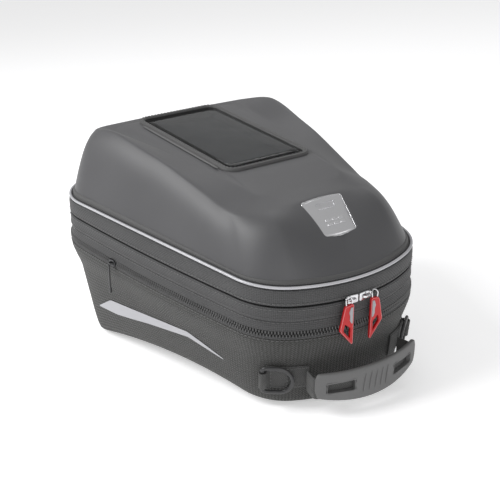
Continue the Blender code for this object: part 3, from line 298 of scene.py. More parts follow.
floorMesh = bpy.data.meshes.new("floor")
floorMesh.from_pydata([(-8, -8, 0), (8, -8, 0), (8, 8, 0), (-8, 8, 0)], [], [(0, 1, 2, 3)])
floorMesh.materials.append(floorPaint)
floor = bpy.data.objects.new("floor", floorMesh)
floor.location.z = -0.0004
bpy.context.scene.collection.objects.link(floor)


# ---- plan outlines and mesh helpers

def facing(angle):  # 0 looks to the front, 90 degrees to the right
    return Vector((math.sin(angle), -math.cos(angle)))


class PlanOutline:
    # right half of a plan: front arc, corner, straight side, rear corner and crown

    def __init__(self, frontY, frontRadius, frontDegrees, cornerRadius, taperDegrees, rearRadius,
                 crownRadius, rearY):
        self.frontCentre = Vector((0, frontY + frontRadius))
        self.frontRadius = frontRadius
        self.frontAngle = math.radians(frontDegrees)
        self.cornerRadius = cornerRadius
        self.sideAngle = math.radians(90 - taperDegrees)
        along = Vector((math.sin(math.radians(taperDegrees)), math.cos(math.radians(taperDegrees))))
        self.cornerCentre = self.frontCentre + facing(self.frontAngle) * (frontRadius - cornerRadius)
        self.sideStart = self.cornerCentre + facing(self.sideAngle) * cornerRadius
        self.rearRadius = rearRadius
        self.crownRadius = crownRadius
        length = rearY - self.sideStart.y
        for _ in range(20):  # settles where the crown meets the rear corner
            centre = self.sideStart + along * length - facing(self.sideAngle) * rearRadius
            tilt = math.asin(centre.x / (crownRadius - rearRadius))
            reach = crownRadius + centre.y - (crownRadius - rearRadius) * math.cos(tilt)
            length += (rearY - reach) / along.y
        self.along = along
        self.sideLength = length
        self.rearCentre = centre
        self.crownAngle = math.pi - tilt
        self.crownCentre = Vector((0, rearY - crownRadius))

    def section(self, number, share):
        if number == 2:
            return self.sideStart + self.along * (self.sideLength * share), facing(self.sideAngle)
        first, last, centre, radius = {
            0: (0, self.frontAngle, self.frontCentre, self.frontRadius),
            1: (self.frontAngle, self.sideAngle, self.cornerCentre, self.cornerRadius),
            3: (self.sideAngle, self.crownAngle, self.rearCentre, self.rearRadius),
            4: (self.crownAngle, math.pi, self.crownCentre, self.crownRadius)}[number]
        angle = first + (last - first) * share
        return centre + facing(angle) * radius, facing(angle)

    def beside(self, s):  # a distance s past the start of the straight side; less than 0 is round the corner
        if s >= 0:
            return self.sideStart + self.along * s, facing(self.sideAngle)
        angle = self.sideAngle + s / self.cornerRadius
        if angle >= self.frontAngle:
            return self.cornerCentre + facing(angle) * self.cornerRadius, facing(angle)
        angle = self.frontAngle + (angle - self.frontAngle) * self.cornerRadius / self.frontRadius
        return self.frontCentre + facing(angle) * self.frontRadius, facing(angle)


rimPlan = PlanOutline(-141, 143, 25.7, 60, 10.3, 50, 1500, 201)
loopSteps = (14, 14, 40, 14, 9)
loopPlaces = [(number, step / steps) for number, steps in enumerate(loopSteps) for step in range(steps)]
loopPlaces.append((4, 1.0))


def curveThrough(points, value):
    # smooth reading of a short table of (value, result) pairs
    if value <= points[0][0]:
        return points[0][1]
    if value >= points[-1][0]:
        return points[-1][1]
    slopes = [(b[1] - a[1]) / (b[0] - a[0]) for a, b in zip(points, points[1:])]
    for i, (a, b) in enumerate(zip(points, points[1:])):
        if value <= b[0]:
            first = slopes[i] if i == 0 else (slopes[i - 1] + slopes[i]) / 2
            last = slopes[i] if i == len(slopes) - 1 else (slopes[i] + slopes[i + 1]) / 2
            gap = b[0] - a[0]
            t = (value - a[0]) / gap
            return (a[1] * (1 + 2 * t) * (1 - t) ** 2 + first * gap * t * (1 - t) ** 2
                    + b[1] * t * t * (3 - 2 * t) - last * gap * t * t * (1 - t))


def straightThrough(points, value):
    if value <= points[0][0]:
        return points[0][1]
    for a, b in zip(points, points[1:]):
        if value <= b[0]:
            return a[1] + (b[1] - a[1]) * (value - a[0]) / (b[0] - a[0])
    return points[-1][1]


swellTable = ((-85, 0), (-48, 3.5), (-16, 3.0), (0, 0))


def sideSwell(w, share):
    return straightThrough(swellTable, w) * (1 - (2 * share - 1) ** 2)


def wholeLoop(half):
    return half + [Vector((-p.x, p.y, p.z)) for p in half[-2:0:-1]]


def rimLoop(inset, w):
    half = []
    for number, share in loopPlaces:
        spot, normal = rimPlan.section(number, share)
        spot = spot - normal * (inset - (sideSwell(w, share) if number == 2 else 0))
        half.append(Vector((spot.x, spot.y, w)))
    return wholeLoop(half)


def loft(rows, profileClosed=False, loopClosed=True):
    # quads between rows of points, with the unrolled size in millimetres as the cloth map
    shape = bmesh.new()
    cloth = shape.loops.layers.uv.new("cloth")
    count = len(rows[0])
    middle = rows[len(rows) // 2]
    along = [0.0]
    for i in range(count):
        along.append(along[-1] + (middle[(i + 1) % count] - middle[i]).length)
    up = [0.0]
    for low, high in zip(rows, rows[1:] + rows[:1]):
        up.append(up[-1] + sum((b - a).length for a, b in zip(low, high)) / count)
    grid = [[shape.verts.new(p) for p in row] for row in rows]
    for k in range(len(rows) if profileClosed else len(rows) - 1):
        low, high = grid[k], grid[(k + 1) % len(grid)]
        for i in range(count if loopClosed else count - 1):
            j = (i + 1) % count
            face = shape.faces.new((low[i], low[j], high[j], high[i]))
            corners = ((along[i], up[k]), (along[i + 1], up[k]), (along[i + 1], up[k + 1]),
                       (along[i], up[k + 1]))
            for corner, spot in zip(face.loops, corners):
                corner[cloth].uv = spot
    return shape, grid


def putPiece(name, shape, finish, body, local=None, sharp=40, tidy=True):
    if tidy:
        bmesh.ops.recalc_face_normals(shape, faces=shape.faces)
    place = toWorld @ local if local is not None else toWorld
    bmesh.ops.transform(shape, matrix=place, verts=shape.verts)
    mesh = bpy.data.meshes.new(name)
    shape.to_mesh(mesh)
    shape.free()
    mesh.shade_smooth()
    mesh.set_sharp_from_angle(angle=math.radians(sharp))
    mesh.materials.append(finish)
    item = bpy.data.objects.new(name, mesh)
    bpy.context.scene.collection.objects.link(item)
    if body:
        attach(item, body)
    return item


def addShape(whole, shape):
    part = bpy.data.meshes.new("part")
    shape.to_mesh(part)
    shape.free()
    whole.from_mesh(part)
    bpy.data.meshes.remove(part)


def band(name, profile, finish, body, sharp=40):
    # a closed profile of (inset, level) carried right round the rim
    shape, _ = loft([rimLoop(inset, w) for inset, w in profile], profileClosed=True)
    return putPiece(name, shape, finish, body, sharp=sharp)


def walk(points, step, closed=True, start=0.0):
    # places a fixed distance apart along a line, each with its direction
    line = points + points[:1] if closed else points
    reach = start
    gone = 0.0
    for a, b in zip(line, line[1:]):
        length = (b - a).length
        while length > 0 and reach <= gone + length:
            yield a.lerp(b, (reach - gone) / length), (b - a) / length
            reach += step
        gone += length


def addStitch(shape, start, end, out, radius):
    along = (end - start).normalized()
    side = along.cross(out).normalized()
    rows = []
    for share, fat, lift in ((0, 0.5, -0.5), (0.16, 1, 0.25), (0.5, 1.05, 0.5), (0.84, 1, 0.25),
                             (1, 0.5, -0.5)):
        middle = start.lerp(end, share) + out * (lift * radius)
        rows.append([shape.verts.new(middle + (side * math.cos(a) + out * math.sin(a)) * radius * fat)
                     for a in [math.pi * 2 * k / 6 for k in range(6)]])
    for low, high in zip(rows, rows[1:]):
        for k in range(6):
            shape.faces.new((low[k], low[(k + 1) % 6], high[(k + 1) % 6], high[k]))
    shape.faces.new(rows[0])
    shape.faces.new(rows[-1])


def stitchLine(shape, points, outward, stitch, closed=False):
    # outward(point, direction) gives which way the cloth faces
    for spot, along in walk(points, stitch["length"] + stitch["gap"], closed):
        out = outward(spot, along)
        addStitch(shape, spot + out * stitch["proud"],
                  spot + along * stitch["length"] + out * stitch["proud"],
                  out, stitch["radius"])


def rimOutward(spot, along):
    return along.cross(Vector((0, 0, 1))).normalized()


def tubeAlong(points, radius, sides=12, closed=False, flat=1.0, squeeze=Vector((0, 0, 1))):
    # a round or flattened bar; squeeze is the direction that flat thins
    shape = bmesh.new()
    rows = []
    count = len(points)
    for i, spot in enumerate(points):
        before = points[(i - 1) % count] if closed or i else spot
        after = points[(i + 1) % count] if closed or i < count - 1 else spot
        along = (after - before).normalized()
        thin = (squeeze - along * squeeze.dot(along)).normalized()
        wide = along.cross(thin)
        size = radius[i] if isinstance(radius, list) else radius
        rows.append([shape.verts.new(spot + wide * (size * math.cos(a)) + thin * (size * flat * math.sin(a)))
                     for a in [math.pi * 2 * k / sides for k in range(sides)]])
    spans = list(zip(rows, rows[1:])) + ([(rows[-1], rows[0])] if closed else [])
    for low, high in spans:
        for k in range(sides):
            shape.faces.new((low[k], low[(k + 1) % sides], high[(k + 1) % sides], high[k]))
    if not closed:
        shape.faces.new(rows[0])
        shape.faces.new(rows[-1])
    return shape


def smoothPath(points, steps, closed=False):
    # Catmull-Rom curve through the points
    count = len(points)
    made = []
    for i in range(count if closed else count - 1):
        p = [points[(i + k) % count] if closed else points[min(max(i + k, 0),
                                                               count - 1)] for k in (-1, 0, 1, 2)]
        for step in range(steps):
            t = step / steps
            made.append((p[1] * 2 + (p[2] - p[0]) * t + (p[0] * 2 - p[1] * 5 + p[2] * 4 - p[3]) * t * t
                         + (p[1] * 3 - p[0] - p[2] * 3 + p[3]) * t ** 3) * 0.5)
    return made if closed else made + [points[-1].copy()]


def plate(outline, low, high, bevel, segments=3, bothSides=False):
    # a flat outline of (x, y) between two levels, with rounded rims
    shape = bmesh.new()
    bottom = shape.faces.new([shape.verts.new((x, y, low)) for x, y in outline])
    lifted = bmesh.ops.extrude_face_region(shape, geom=[bottom])
    raised = [v for v in lifted["geom"] if isinstance(v, bmesh.types.BMVert)]
    bmesh.ops.translate(shape, vec=(0, 0, high - low), verts=raised)
    levels = (low, high) if bothSides else (high,)
    rims = [e for e in shape.edges
            if any(abs(e.verts[0].co.z - w) < 1e-6 and abs(e.verts[1].co.z - w) < 1e-6 for w in levels)]
    bmesh.ops.bevel(shape, geom=rims, offset=bevel, segments=segments, profile=0.5, affect="EDGES")
    return shape


def roundedCorners(corners, radius, steps=5):
    # replaces each corner of a polygon with a curve
    made = []
    count = len(corners)
    for i in range(count):
        here = Vector(corners[i])
        before = (Vector(corners[i - 1]) - here)
        after = (Vector(corners[(i + 1) % count]) - here)
        reach = min(radius, before.length * 0.45, after.length * 0.45)
        a = here + before.normalized() * reach
        b = here + after.normalized() * reach
        for step in range(steps + 1):
            t = step / steps
            spot = a * (1 - t) ** 2 + here * (2 * t * (1 - t)) + b * t * t
            made.append((spot.x, spot.y))
    return made


def axesPlace(location, along, out):
    # x runs along, y outward
    x = Vector(along).normalized()
    y = (Vector(out) - x * Vector(out).dot(x)).normalized()
    return Matrix.Translation(location) @ Matrix((x, y, x.cross(y))).transposed().to_4x4()


def cutWith(item, cutter):
    step = item.modifiers.new("cut", "BOOLEAN")
    step.operation = "DIFFERENCE"
    step.object = cutter
    applyAll(item)
    bpy.data.objects.remove(cutter)


def applyAll(item):
    baked = bpy.data.meshes.new_from_object(item.evaluated_get(bpy.context.evaluated_depsgraph_get()))
    item.modifiers.clear()
    item.data = baked


def lineThrough(item, inner, thickness, rim):
    # gives a skin its thickness and a lining of its own
    item.data.materials.append(inner)
    step = item.modifiers.new("thickness", "SOLIDIFY")
    step.thickness = thickness * mm
    step.offset = -1
    step.use_even_offset = True
    step.material_offset = 1
    step.material_offset_rim = rim
    return item


print("helpers ready")

# ---- the pull cord of the expansion zip

expansionZip = {"along": 168.0, "level": -43.2, "standoff": 5.6, "cord": 31.0, "cordRadius": 0.95}


def bowedSideArc():
    # centre and radius of the gentle arc that the bowed side follows
    half = rimPlan.sideLength / 2
    radius = half * half / 7.0 + 1.75
    middle, normal = rimPlan.section(2, 0.5)
    return middle + normal * (3.5 - radius)


def facePlace(spot, out):
    # x to the right of someone facing the piece, y up, z towards them
    right = Vector((0, 0, 1)).cross(out)
    return Matrix.Translation(spot) @ Matrix((right, (0, 0, 1), out)).transposed().to_4x4()


def expansionSliderPlace():
    spot, normal = rimPlan.beside(expansionZip["along"])
    share = expansionZip["along"] / rimPlan.sideLength
    spot = spot + normal * sideSwell(expansionZip["level"], share)
    out = (spot - bowedSideArc()).normalized()
    spot = spot + out * 0.7
    return facePlace(Vector((-spot.x, spot.y, expansionZip["level"])), Vector((-out.x, out.y, 0)))


def curvePiece(name, points, radius, finish, body):
    curve = bpy.data.curves.new(name, "CURVE")
    curve.dimensions = "3D"
    curve.bevel_depth = radius * mm
    curve.bevel_resolution = 3
    curve.use_fill_caps = True
    line = curve.splines.new("POLY")
    line.points.add(len(points) - 1)
    for point, spot in zip(line.points, points):
        point.co = (*(toWorld @ spot), 1)
    curve.materials.append(finish)
    item = bpy.data.objects.new(name, curve)
    bpy.context.scene.collection.objects.link(item)
    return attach(item, body)


def makeExpansionPull():
    place = expansionSliderPlace()
    drop = expansionZip["cord"]
    line = smoothPath([Vector((0, -1, 0)), Vector((0.1, -9, 0.2)), Vector((-0.1, -20, 0.1)),
                       Vector((0, -drop, 0))], 6)
    points = [place @ (p + Vector((0, 0, expansionZip["standoff"]))) for p in line]
    pull = curvePiece("expansionPullCord", points, expansionZip["cordRadius"], ringAcetal, "expansion_pull")
    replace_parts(pull, "expansion_pull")
    tip = tubeAlong([Vector((0, y, expansionZip["standoff"])) for y in (5.4 - drop, 4.6 - drop,
                                                                        1.2 - drop, 0 - drop, -0.5 - drop)],
                    [1.0, 1.35, 1.5, 1.35, 0.8], 12)
    end = putPiece("expansionPullTip", tip, ringAcetal, "expansion_pull", local=place)


makeExpansionPull()
print("pull cord")


# ---- tub

tub = {"top": -48.3, "wall": 3.4, "archHeight": 19.5, "archCentre": 26, "edgeRise": 15, "edgeMiddle": 12,
       "frontReach": 136, "rearReach": 150, "socket": 45, "pressure": 1.2, "cap": 1.0}


def edgeLevel(y):  # the base's edge arches gently off the ground
    ground = -(138 + y * math.sin(lean)) / math.cos(lean)
    reach = tub["frontReach"] if y < tub["edgeMiddle"] else tub["rearReach"]
    gone = min(abs(y - tub["edgeMiddle"]) / reach, 1)
    return ground + tub["edgeRise"] * (1 - gone * gone) / math.cos(lean)


def socketLevel(y):
    return (tub["archHeight"] - 138 - y * math.sin(lean)) / math.cos(lean)


def wallInset(y, w):
    slope = straightThrough(((-90, 0.08), (150, 0.165)), y)
    upper = curveThrough(((-75, 4.6), (-62, 1.6), (-52, -0.9), (-48, -0.6)), w)
    return upper + slope * max(0.0, -62 - w)


def wallPoint(s, w, offset, side):
    # a place on the tub's outer wall, a distance proud of it
    spot, normal = rimPlan.beside(s)
    share = s / rimPlan.sideLength
    swell = sideSwell(w, share) if 0 < share < 1 else 0
    spot = spot - normal * (wallInset(spot.y, w) - swell - offset)
    return Vector((side * spot.x, spot.y, w))


def clothPlace(s, w, offset, side):
    # the same, but on the wall as it has filled out
    spot = wallPoint(s, w, 0, side)
    _, normal = rimPlan.beside(s)
    out = Vector((side * normal.x, normal.y, 0))
    hit = tubCloth.ray_cast(spot + out * 9, -out, 18)[0]
    return (hit or spot) + out * offset


def tubRow(share, extra=0.0, rise=0.0):
    half = []
    for number, position in loopPlaces:
        spot, normal = rimPlan.section(number, position)
        base = edgeLevel(spot.y - 12 * normal.y) + rise
        w = tub["top"] + (base - tub["top"]) * share
        swell = sideSwell(w, position) if number == 2 else 0
        place = spot - normal * (wallInset(spot.y, w) + extra - swell)
        if share == 1:
            w = edgeLevel(place.y) + rise
        half.append(Vector((place.x, place.y, w)))
    return wholeLoop(half)


def puffCloth(item, pinned, sim):
    # the cloth fills out a little under pressure, between the rows that are sewn down
    rest = [v.co.copy() for v in item.data.vertices]
    item.vertex_groups.new(name="sewn").add(pinned, 1.0, "REPLACE")
    cloth = item.modifiers.new("cloth", "CLOTH")
    cloth.settings.quality = 6
    cloth.settings.mass = 0.3
    cloth.settings.tension_stiffness = 20
    cloth.settings.compression_stiffness = 20
    cloth.settings.bending_stiffness = 3
    cloth.settings.use_pressure = True
    cloth.settings.uniform_pressure_force = sim["pressure"]
    cloth.settings.vertex_group_mass = "sewn"
    cloth.settings.effector_weights.gravity = 0
    cloth.collision_settings.use_collision = False
    for step in range(1, 21):
        bpy.context.scene.frame_set(step)
    filled = item.evaluated_get(bpy.context.evaluated_depsgraph_get()).data
    moved = [v.co.copy() for v in filled.vertices]
    item.modifiers.remove(cloth)
    for vertex, before, after in zip(item.data.vertices, rest, moved):
        step = after - before
        vertex.co = before + step * min(1.0, sim["cap"] * mm / max(step.length, 1e-9))
    bpy.context.scene.frame_set(1)


def makeTub():
    rows = [tubRow(0)] + [tubRow(s) for s in (0.02, 0.05, 0.09, 0.14, 0.2, 0.27, 0.35, 0.43, 0.51, 0.59,
                                              0.67, 0.75)]
    wallRows = len(rows)
    rows += [tubRow(0.83, 0.2), tubRow(0.9, 0.6), tubRow(1, 1.4, 4.6), tubRow(1, 2.6, 2.6),
             tubRow(1, 4.4, 1.0),
             tubRow(1, 6.6, 0.2), tubRow(1, 9)]
    edge = rows[-1]
    centre = Vector((0, tub["archCentre"]))
    for share in (0.12, 0.3, 0.5, 0.75, 1):
        row = []
        climb = share * share * (3 - 2 * share)
        for place in edge:
            rimSpot = Vector((place.x, place.y))
            flat = centre + (rimSpot - centre).normalized() * (tub["socket"] + 3)
            spot = rimSpot.lerp(flat, share)
            low = edgeLevel(spot.y)
            row.append(Vector((spot.x, spot.y, low + (socketLevel(spot.y) - low) * climb)))
        rows.append(row)
    rows = rows[::-1]  # from the base up, so that the cloth faces outward
    shape, grid = loft(rows)
    shape.faces.new(grid[0][::-1])
    item = putPiece("tubShell", shape, tubFabric, "tub", sharp=60, tidy=False)
    count = len(edge)
    total = len(rows)
    sewn = [k * count + i for k in range(total) for i in range(count)
            if k < total - wallRows + 1 or k > total - 4]
    puffCloth(item, sewn, tub)
    toRim = rimPlace.inverted() @ item.matrix_world
    wall = BVHTree.FromPolygons([toRim @ v.co / mm for v in item.data.vertices],
                                [tuple(face.vertices) for face in item.data.polygons])
    lineThrough(item, liningFabric, tub["wall"], 0)
    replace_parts(item, "tub_shell")
    return wall


tubCloth = makeTub()
print("tub")


# ---- bands, zips and piping round the rim

zipTeeth = {"main": {"pitch": 2.0, "width": 1.1, "tall": 1.5, "deep": 0.9},
            "expansion": {"pitch": 2.8, "width": 1.4, "tall": 2.5, "deep": 1.3}}
seam = {"length": 2.8, "gap": 1.3, "radius": 0.34, "proud": 0.05}


def makeTeeth(name, inset, first, last, teeth, finish, body, node, start):
    # one row of nylon turns, each a rounded bar that stands across the tape
    shape = bmesh.new()
    for spot, along in walk(rimLoop(inset, (first + last) / 2), teeth["pitch"], start=start):
        out = rimOutward(spot, along)
        rows = []
        for w, fat in ((first, 0.75), (first + (last - first) * 0.25, 1.0),
                       (first + (last - first) * 0.6, 0.85),
                       (first + (last - first) * 0.85, 1.12), (last, 0.8)):
            middle = Vector((spot.x, spot.y, w))
            wide, deep = teeth["width"] / 2 * fat, teeth["deep"] * fat
            rows.append([shape.verts.new(middle + along * (wide * x) + out * (deep * y))
                         for x, y in ((-1, 0), (-0.75, 0.7), (0, 1), (0.75, 0.7), (1, 0))])
        for low, high in zip(rows, rows[1:]):
            for k in range(4):
                shape.faces.new((low[k], low[k + 1], high[k + 1], high[k]))
        shape.faces.new(rows[0])
        shape.faces.new(rows[-1])
    item = putPiece(name, shape, finish, body, sharp=50)
    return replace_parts(item, node)


def makeLid():
    item = band("lidBand", ((3.3, -15.6), (1.4, -16.7), (0.7, -16.6), (0.35, -15.9), (0.15, -14),
                            (-0.1, -11),
                            (-0.2, -8), (0, -5), (0.35, -3), (0.9, -2.1), (2, -1.9), (3.8, -1.9),
                                    (3.8, 2.2),
                            (4.7, 2.2), (4.7, 0.7), (10, 0.7), (10, -1.5), (3.3, -4.5)), bandFabric, "lid")
    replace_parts(item, "lid_band")
    turns = [math.pi * 2 * k / 14 for k in range(14)]
    bead = [(1.5 + 1.35 * math.cos(a), 0.3 + 1.25 * math.sin(a)) for a in turns]
    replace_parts(band("pipingBead", bead, reflectPiping, "lid", sharp=80), "piping")
    tape = band("mainTapeUpper", ((2.1, -17.2), (2.1, -13), (2.8, -13), (2.8, -17.2)), zipTape, "lid")
    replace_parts(tape, "main_zip_tape_upper")
    makeTeeth("mainTeethUpper", 2.0, -16.2, -17.5, zipTeeth["main"], coilNylon, "lid",
              "main_zip_coil_upper", 0.0)


def makeMiddle():
    item = band("middleBand", ((3.3, -31), (2.2, -31.4), (1.2, -31.3), (0.1, -30.7), (-0.35, -29.6),
                               (-0.3, -28.4),
                               (0.1, -27.4), (0, -24), (0.15, -21), (0.35, -19.4), (0.7, -18.6),
                                       (1.4, -18.5),
                               (3.3, -19.6)), bandFabric, "middle")
    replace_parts(item, "middle_band")
    tape = band("mainTapeLower", ((2.8, -18.0), (2.8, -22), (2.1, -22), (2.1, -18.0)), zipTape,
                "middle")
    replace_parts(tape, "main_zip_tape_lower")
    makeTeeth("mainTeethLower", 2.0, -18.9, -17.7, zipTeeth["main"], coilNylon, "middle",
              "main_zip_coil_lower", 1.0)
    flare = band("expansionTapeUpper", ((-0.3, -40.5), (0.15, -37.8), (0.9, -34.6), (1.9, -31.3),
                                        (3.3, -31.3),
                                        (1.9, -36), (1.1, -40.5)), bandFabric, "middle")
    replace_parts(flare, "expansion_tape_upper")
    makeTeeth("expansionTeethUpper", -0.2, -40.4, -43.0, zipTeeth["expansion"], greyNylon, "middle",
              "expansion_coil_upper", 0.0)
    band("expansionFlapUpper", ((1.2, -43.0), (1.2, -39), (0.4, -39), (0.4, -43.0)), zipTape, "middle")


def makeTubBands():
    low = band("expansionTapeLower", ((-0.5, -48.2), (-0.95, -47.4), (-0.75, -46.4), (-0.35, -45.8),
                                      (1.1, -45.9),
                                      (1.1, -48.2)), bandFabric, "tub")
    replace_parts(low, "expansion_tape_lower")
    makeTeeth("expansionTeethLower", -0.2, -46.0, -43.4, zipTeeth["expansion"], greyNylon, "tub",
              "expansion_coil_lower", 1.15)
    band("expansionFlapLower", ((1.2, -47), (1.2, -43.5), (0.4, -43.5), (0.4, -47)), zipTape, "tub")


def makeSeams():
    rows = (("lidSeam", "lid", -0.05, -14.4), ("middleSeam", "middle", 0.18, -20.6),
            ("flareSeam", "middle", 1.35, -33.1), ("tubSeam", "tub", -0.95, -49.6))
    for name, body, inset, w in rows:
        shape = bmesh.new()
        loop = tubSeamLoop(w) if body == "tub" else rimLoop(inset, w)
        stitchLine(shape, loop, rimOutward, seam, closed=True)
        putPiece(name, shape, seamThread, body, sharp=70)


def tubSeamLoop(w):
    half = []
    for number, share in loopPlaces:
        spot, normal = rimPlan.section(number, share)
        swell = sideSwell(w, share) if number == 2 else 0
        spot = spot - normal * (wallInset(spot.y, w) - swell - 0.1)
        half.append(Vector((spot.x, spot.y, w)))
    return wholeLoop(half)


def makeBellows():
    # the fabric that unfolds as the bag grows: one pleat, folded inward at rest
    rows = [rimLoop(inset, w) for inset, w in ((2.0, -50.5), (3.2, -48.6), (5.2, -46.5), (8.5, -44.2),
                                               (11.8, -42),
                                              (13.2, -40), (11.8, -38), (8.5, -35.8),
                                                      (5.4, -33.4), (3.9, -31.5),
                                              (3.6, -28))]
    shape, _ = loft(rows)
    item = putPiece("expansionBellows", shape, liningFabric, None, tidy=False, sharp=60)
    lineThrough(item, liningFabric, 0.6, 0)
    applyAll(item)
    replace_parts(item, "expansion_gusset")
    low, high = toWorld @ Vector((0, 0, -48.6)), toWorld @ Vector((0, 0, -31.5))
    tuple(low)
    tuple(high)
    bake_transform(item)


def makeRearHinge():
    # the strip of band fabric that the lid folds on, across the back
    rows = []
    for k in range(13):
        w = -30.4 + 28.2 * k / 12
        row = []
        for i in range(37):
            x = 74.0 - 148.0 * i / 36
            lift = 1.0 - (x / 74.0) ** 4
            row.append(Vector((x, 200.3 + 1.1 * lift - abs(w + 17.6) * 0.03, w)))
        rows.append(row)
    shape, _ = loft(rows, loopClosed=False)
    item = putPiece("rearHingeStrip", shape, bandFabric, None, tidy=False)
    lineThrough(item, bandFabric, 1.1, 0)
    applyAll(item)
    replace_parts(item, "hinge_tape_upper", "hinge_tape_lower")
    low, high = toWorld @ Vector((0, 202, -20.4)), toWorld @ Vector((0, 202, -14.8))
    tuple(low)
    tuple(high)
    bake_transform(item)


makeLid()
makeMiddle()
makeTubBands()
makeSeams()
makeBellows()
makeRearHinge()
print("bands and zips")


# ---- dome

dome = {"wall": 4.2, "foot": 1.0, "inset": 5.0, "plateau": 59.2,
        "heights": ((-75, 51), (-70, 47.5), (-45, 43.5), (-13, 49.5), (16, 55.8), (47, 62), (81, 66),
                    (119, 70.5),
                    (140, 70), (162, 65), (176, 61), (184, 59.2)),
        "valley": ((-52, 53.5), (0, 58), (50, 58.9), (130, 57.3), (155, 56.8), (176, 58.8)),
        "fullness": ((0.06, 0.28), (0.28, 0.12), (0.12, 0.22), (0.22, 0.18), (0.18, 0.18))}

shoulderPlan = PlanOutline(-75, 300, 9.4, 30, 7.1, 22, 700, 184)
valleyPlan = PlanOutline(-52, 600, 3.6, 12, 8, 12, 900, 176)
plateauPlan = PlanOutline(-14, 600, 3.4, 12, 5, 12, 900, 172)


def topLoop(plan, heights):
    half = []
    for number, share in loopPlaces:
        spot, _ = plan.section(number, share)
        w = heights if isinstance(heights, float) else curveThrough(heights, spot.y)
        half.append(Vector((spot.x, spot.y, w)))
    return wholeLoop(half)


footLoop = rimLoop(dome["inset"], dome["foot"])
shoulderLoop = topLoop(shoulderPlan, dome["heights"])
valleyLoop = topLoop(valleyPlan, dome["valley"])
plateauLoop = topLoop(plateauPlan, dome["plateau"])
fullHalf = [first + (last - first) * share for number, share in loopPlaces
            for first, last in (dome["fullness"][number],)]
fullLoop = fullHalf + fullHalf[-2:0:-1]
outwardHalf = [rimPlan.section(number, share)[1] for number, share in loopPlaces]
outwardLoop = wholeLoop([Vector((n.x, n.y, 0)) for n in outwardHalf])


def domeRow(share, proud=0.0):
    row = []
    for low, high, full, out in zip(footLoop, shoulderLoop, fullLoop, outwardLoop):
        spot = low.lerp(high, share) + out * proud
        spot.z = low.z + (high.z - low.z) * (share + full * math.sin(math.pi * share))
        row.append(spot)
    return row


def makeDome():
    rows = [domeRow(s) for s in (0, 0.02, 0.05, 0.09, 0.14, 0.2, 0.27, 0.34, 0.42, 0.5, 0.58, 0.66,
                                 0.74, 0.82, 0.89)]
    before = domeRow(0.94)
    crest = [a.lerp(b, 0.14) for a, b in zip(shoulderLoop, valleyLoop)]
    for t in (0, 0.2, 0.4, 0.6, 0.8, 1):
        rows.append([a * (1 - t) ** 2 + b * (2 * t * (1 - t)) + c * t * t
                     for a, b, c in zip(before, shoulderLoop, crest)])
    rows += [[a.lerp(b, s) for a, b in zip(shoulderLoop, valleyLoop)] for s in (0.3, 0.5, 0.7, 0.86)]
    for t in (0.15, 0.4, 0.65):
        a3 = [[a.lerp(b, 0.93) for a, b in zip(shoulderLoop, valleyLoop)], valleyLoop,
              [a.lerp(b, 0.3) for a, b in zip(valleyLoop, plateauLoop)]]
        rows.append([p * (1 - t) ** 2 + q * (2 * t * (1 - t)) + r * t * t for p, q, r in zip(*a3)])
    rows += [[a.lerp(b, s) for a, b in zip(valleyLoop, plateauLoop)] for s in (0.4, 0.7, 1)]
    centre = Vector((0, 80, dome["plateau"]))
    rows += [[centre.lerp(p, s) for p in plateauLoop] for s in (0.75, 0.5, 0.25)]
    shape, grid = loft(rows)
    shape.faces.new(grid[-1])
    item = putPiece("domeShell", shape, domeEva, "lid", sharp=50, tidy=False)
    lineThrough(item, liningFabric, dome["wall"], 0)
    hole = putPiece("windowHole", plate(roundedRectangle(43.3, 1.8, 172.8, 8.8), 40, 70, 0.01), domeEva,
                    None)
    cutWith(item, hole)
    seat = putPiece("badgeSeat", plate(badgeOutline(0.5), -1.0, 12, 0.01), domeEva, None,
                    local=badgePlace())
    cutWith(item, seat)
    item.data.shade_smooth()
    item.data.set_sharp_from_angle(angle=math.radians(50))
    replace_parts(item, "dome_shell")


def makeWelt():
    # the dark binding that covers the join between the dome and its piping
    rows = [domeRow(0, 0.95), domeRow(0.012, 1.15), domeRow(0.03, 1.1), domeRow(0.043, 0.75),
            domeRow(0.047, 0.2),
            domeRow(0.045, -0.6), domeRow(0, -0.6)]
    shape, _ = loft(rows, profileClosed=True)
    putPiece("domeWelt", shape, trimFabric, "lid")


# ---- window and badge

window = {"half": 48.5, "front": -3.4, "rear": 178.0, "corner": 14.0, "width": 5.5, "top": 62.0,
          "floor": 48.2}
badge = {"top": Vector((0, -75.7, 49.3)), "low": Vector((0, -107.6, 26.7)), "topWidth": 43, "lowWidth": 34,
         "thick": 3.0, "bow": 1.6}


def roundedRectangle(half, low, high, radius, steps=8):
    made = []
    for x, y, start in ((half - radius, low + radius, -90), (half - radius, high - radius, 0),
                        (radius - half, high - radius, 90), (radius - half, low + radius, 180)):
        for step in range(steps + 1):
            angle = math.radians(start + 90 * step / steps)
            made.append((x + radius * math.cos(angle), y + radius * math.sin(angle)))
    return made


def windowLoop(inset, w):
    # a rounded rectangle inside the frame's outer edge
    corner = max(window["corner"] - inset, 3.0)
    outline = roundedRectangle(window["half"] - inset, window["front"] + inset, window["rear"] - inset,
                               corner)
    return [Vector((x, y, w)) for x, y in outline]


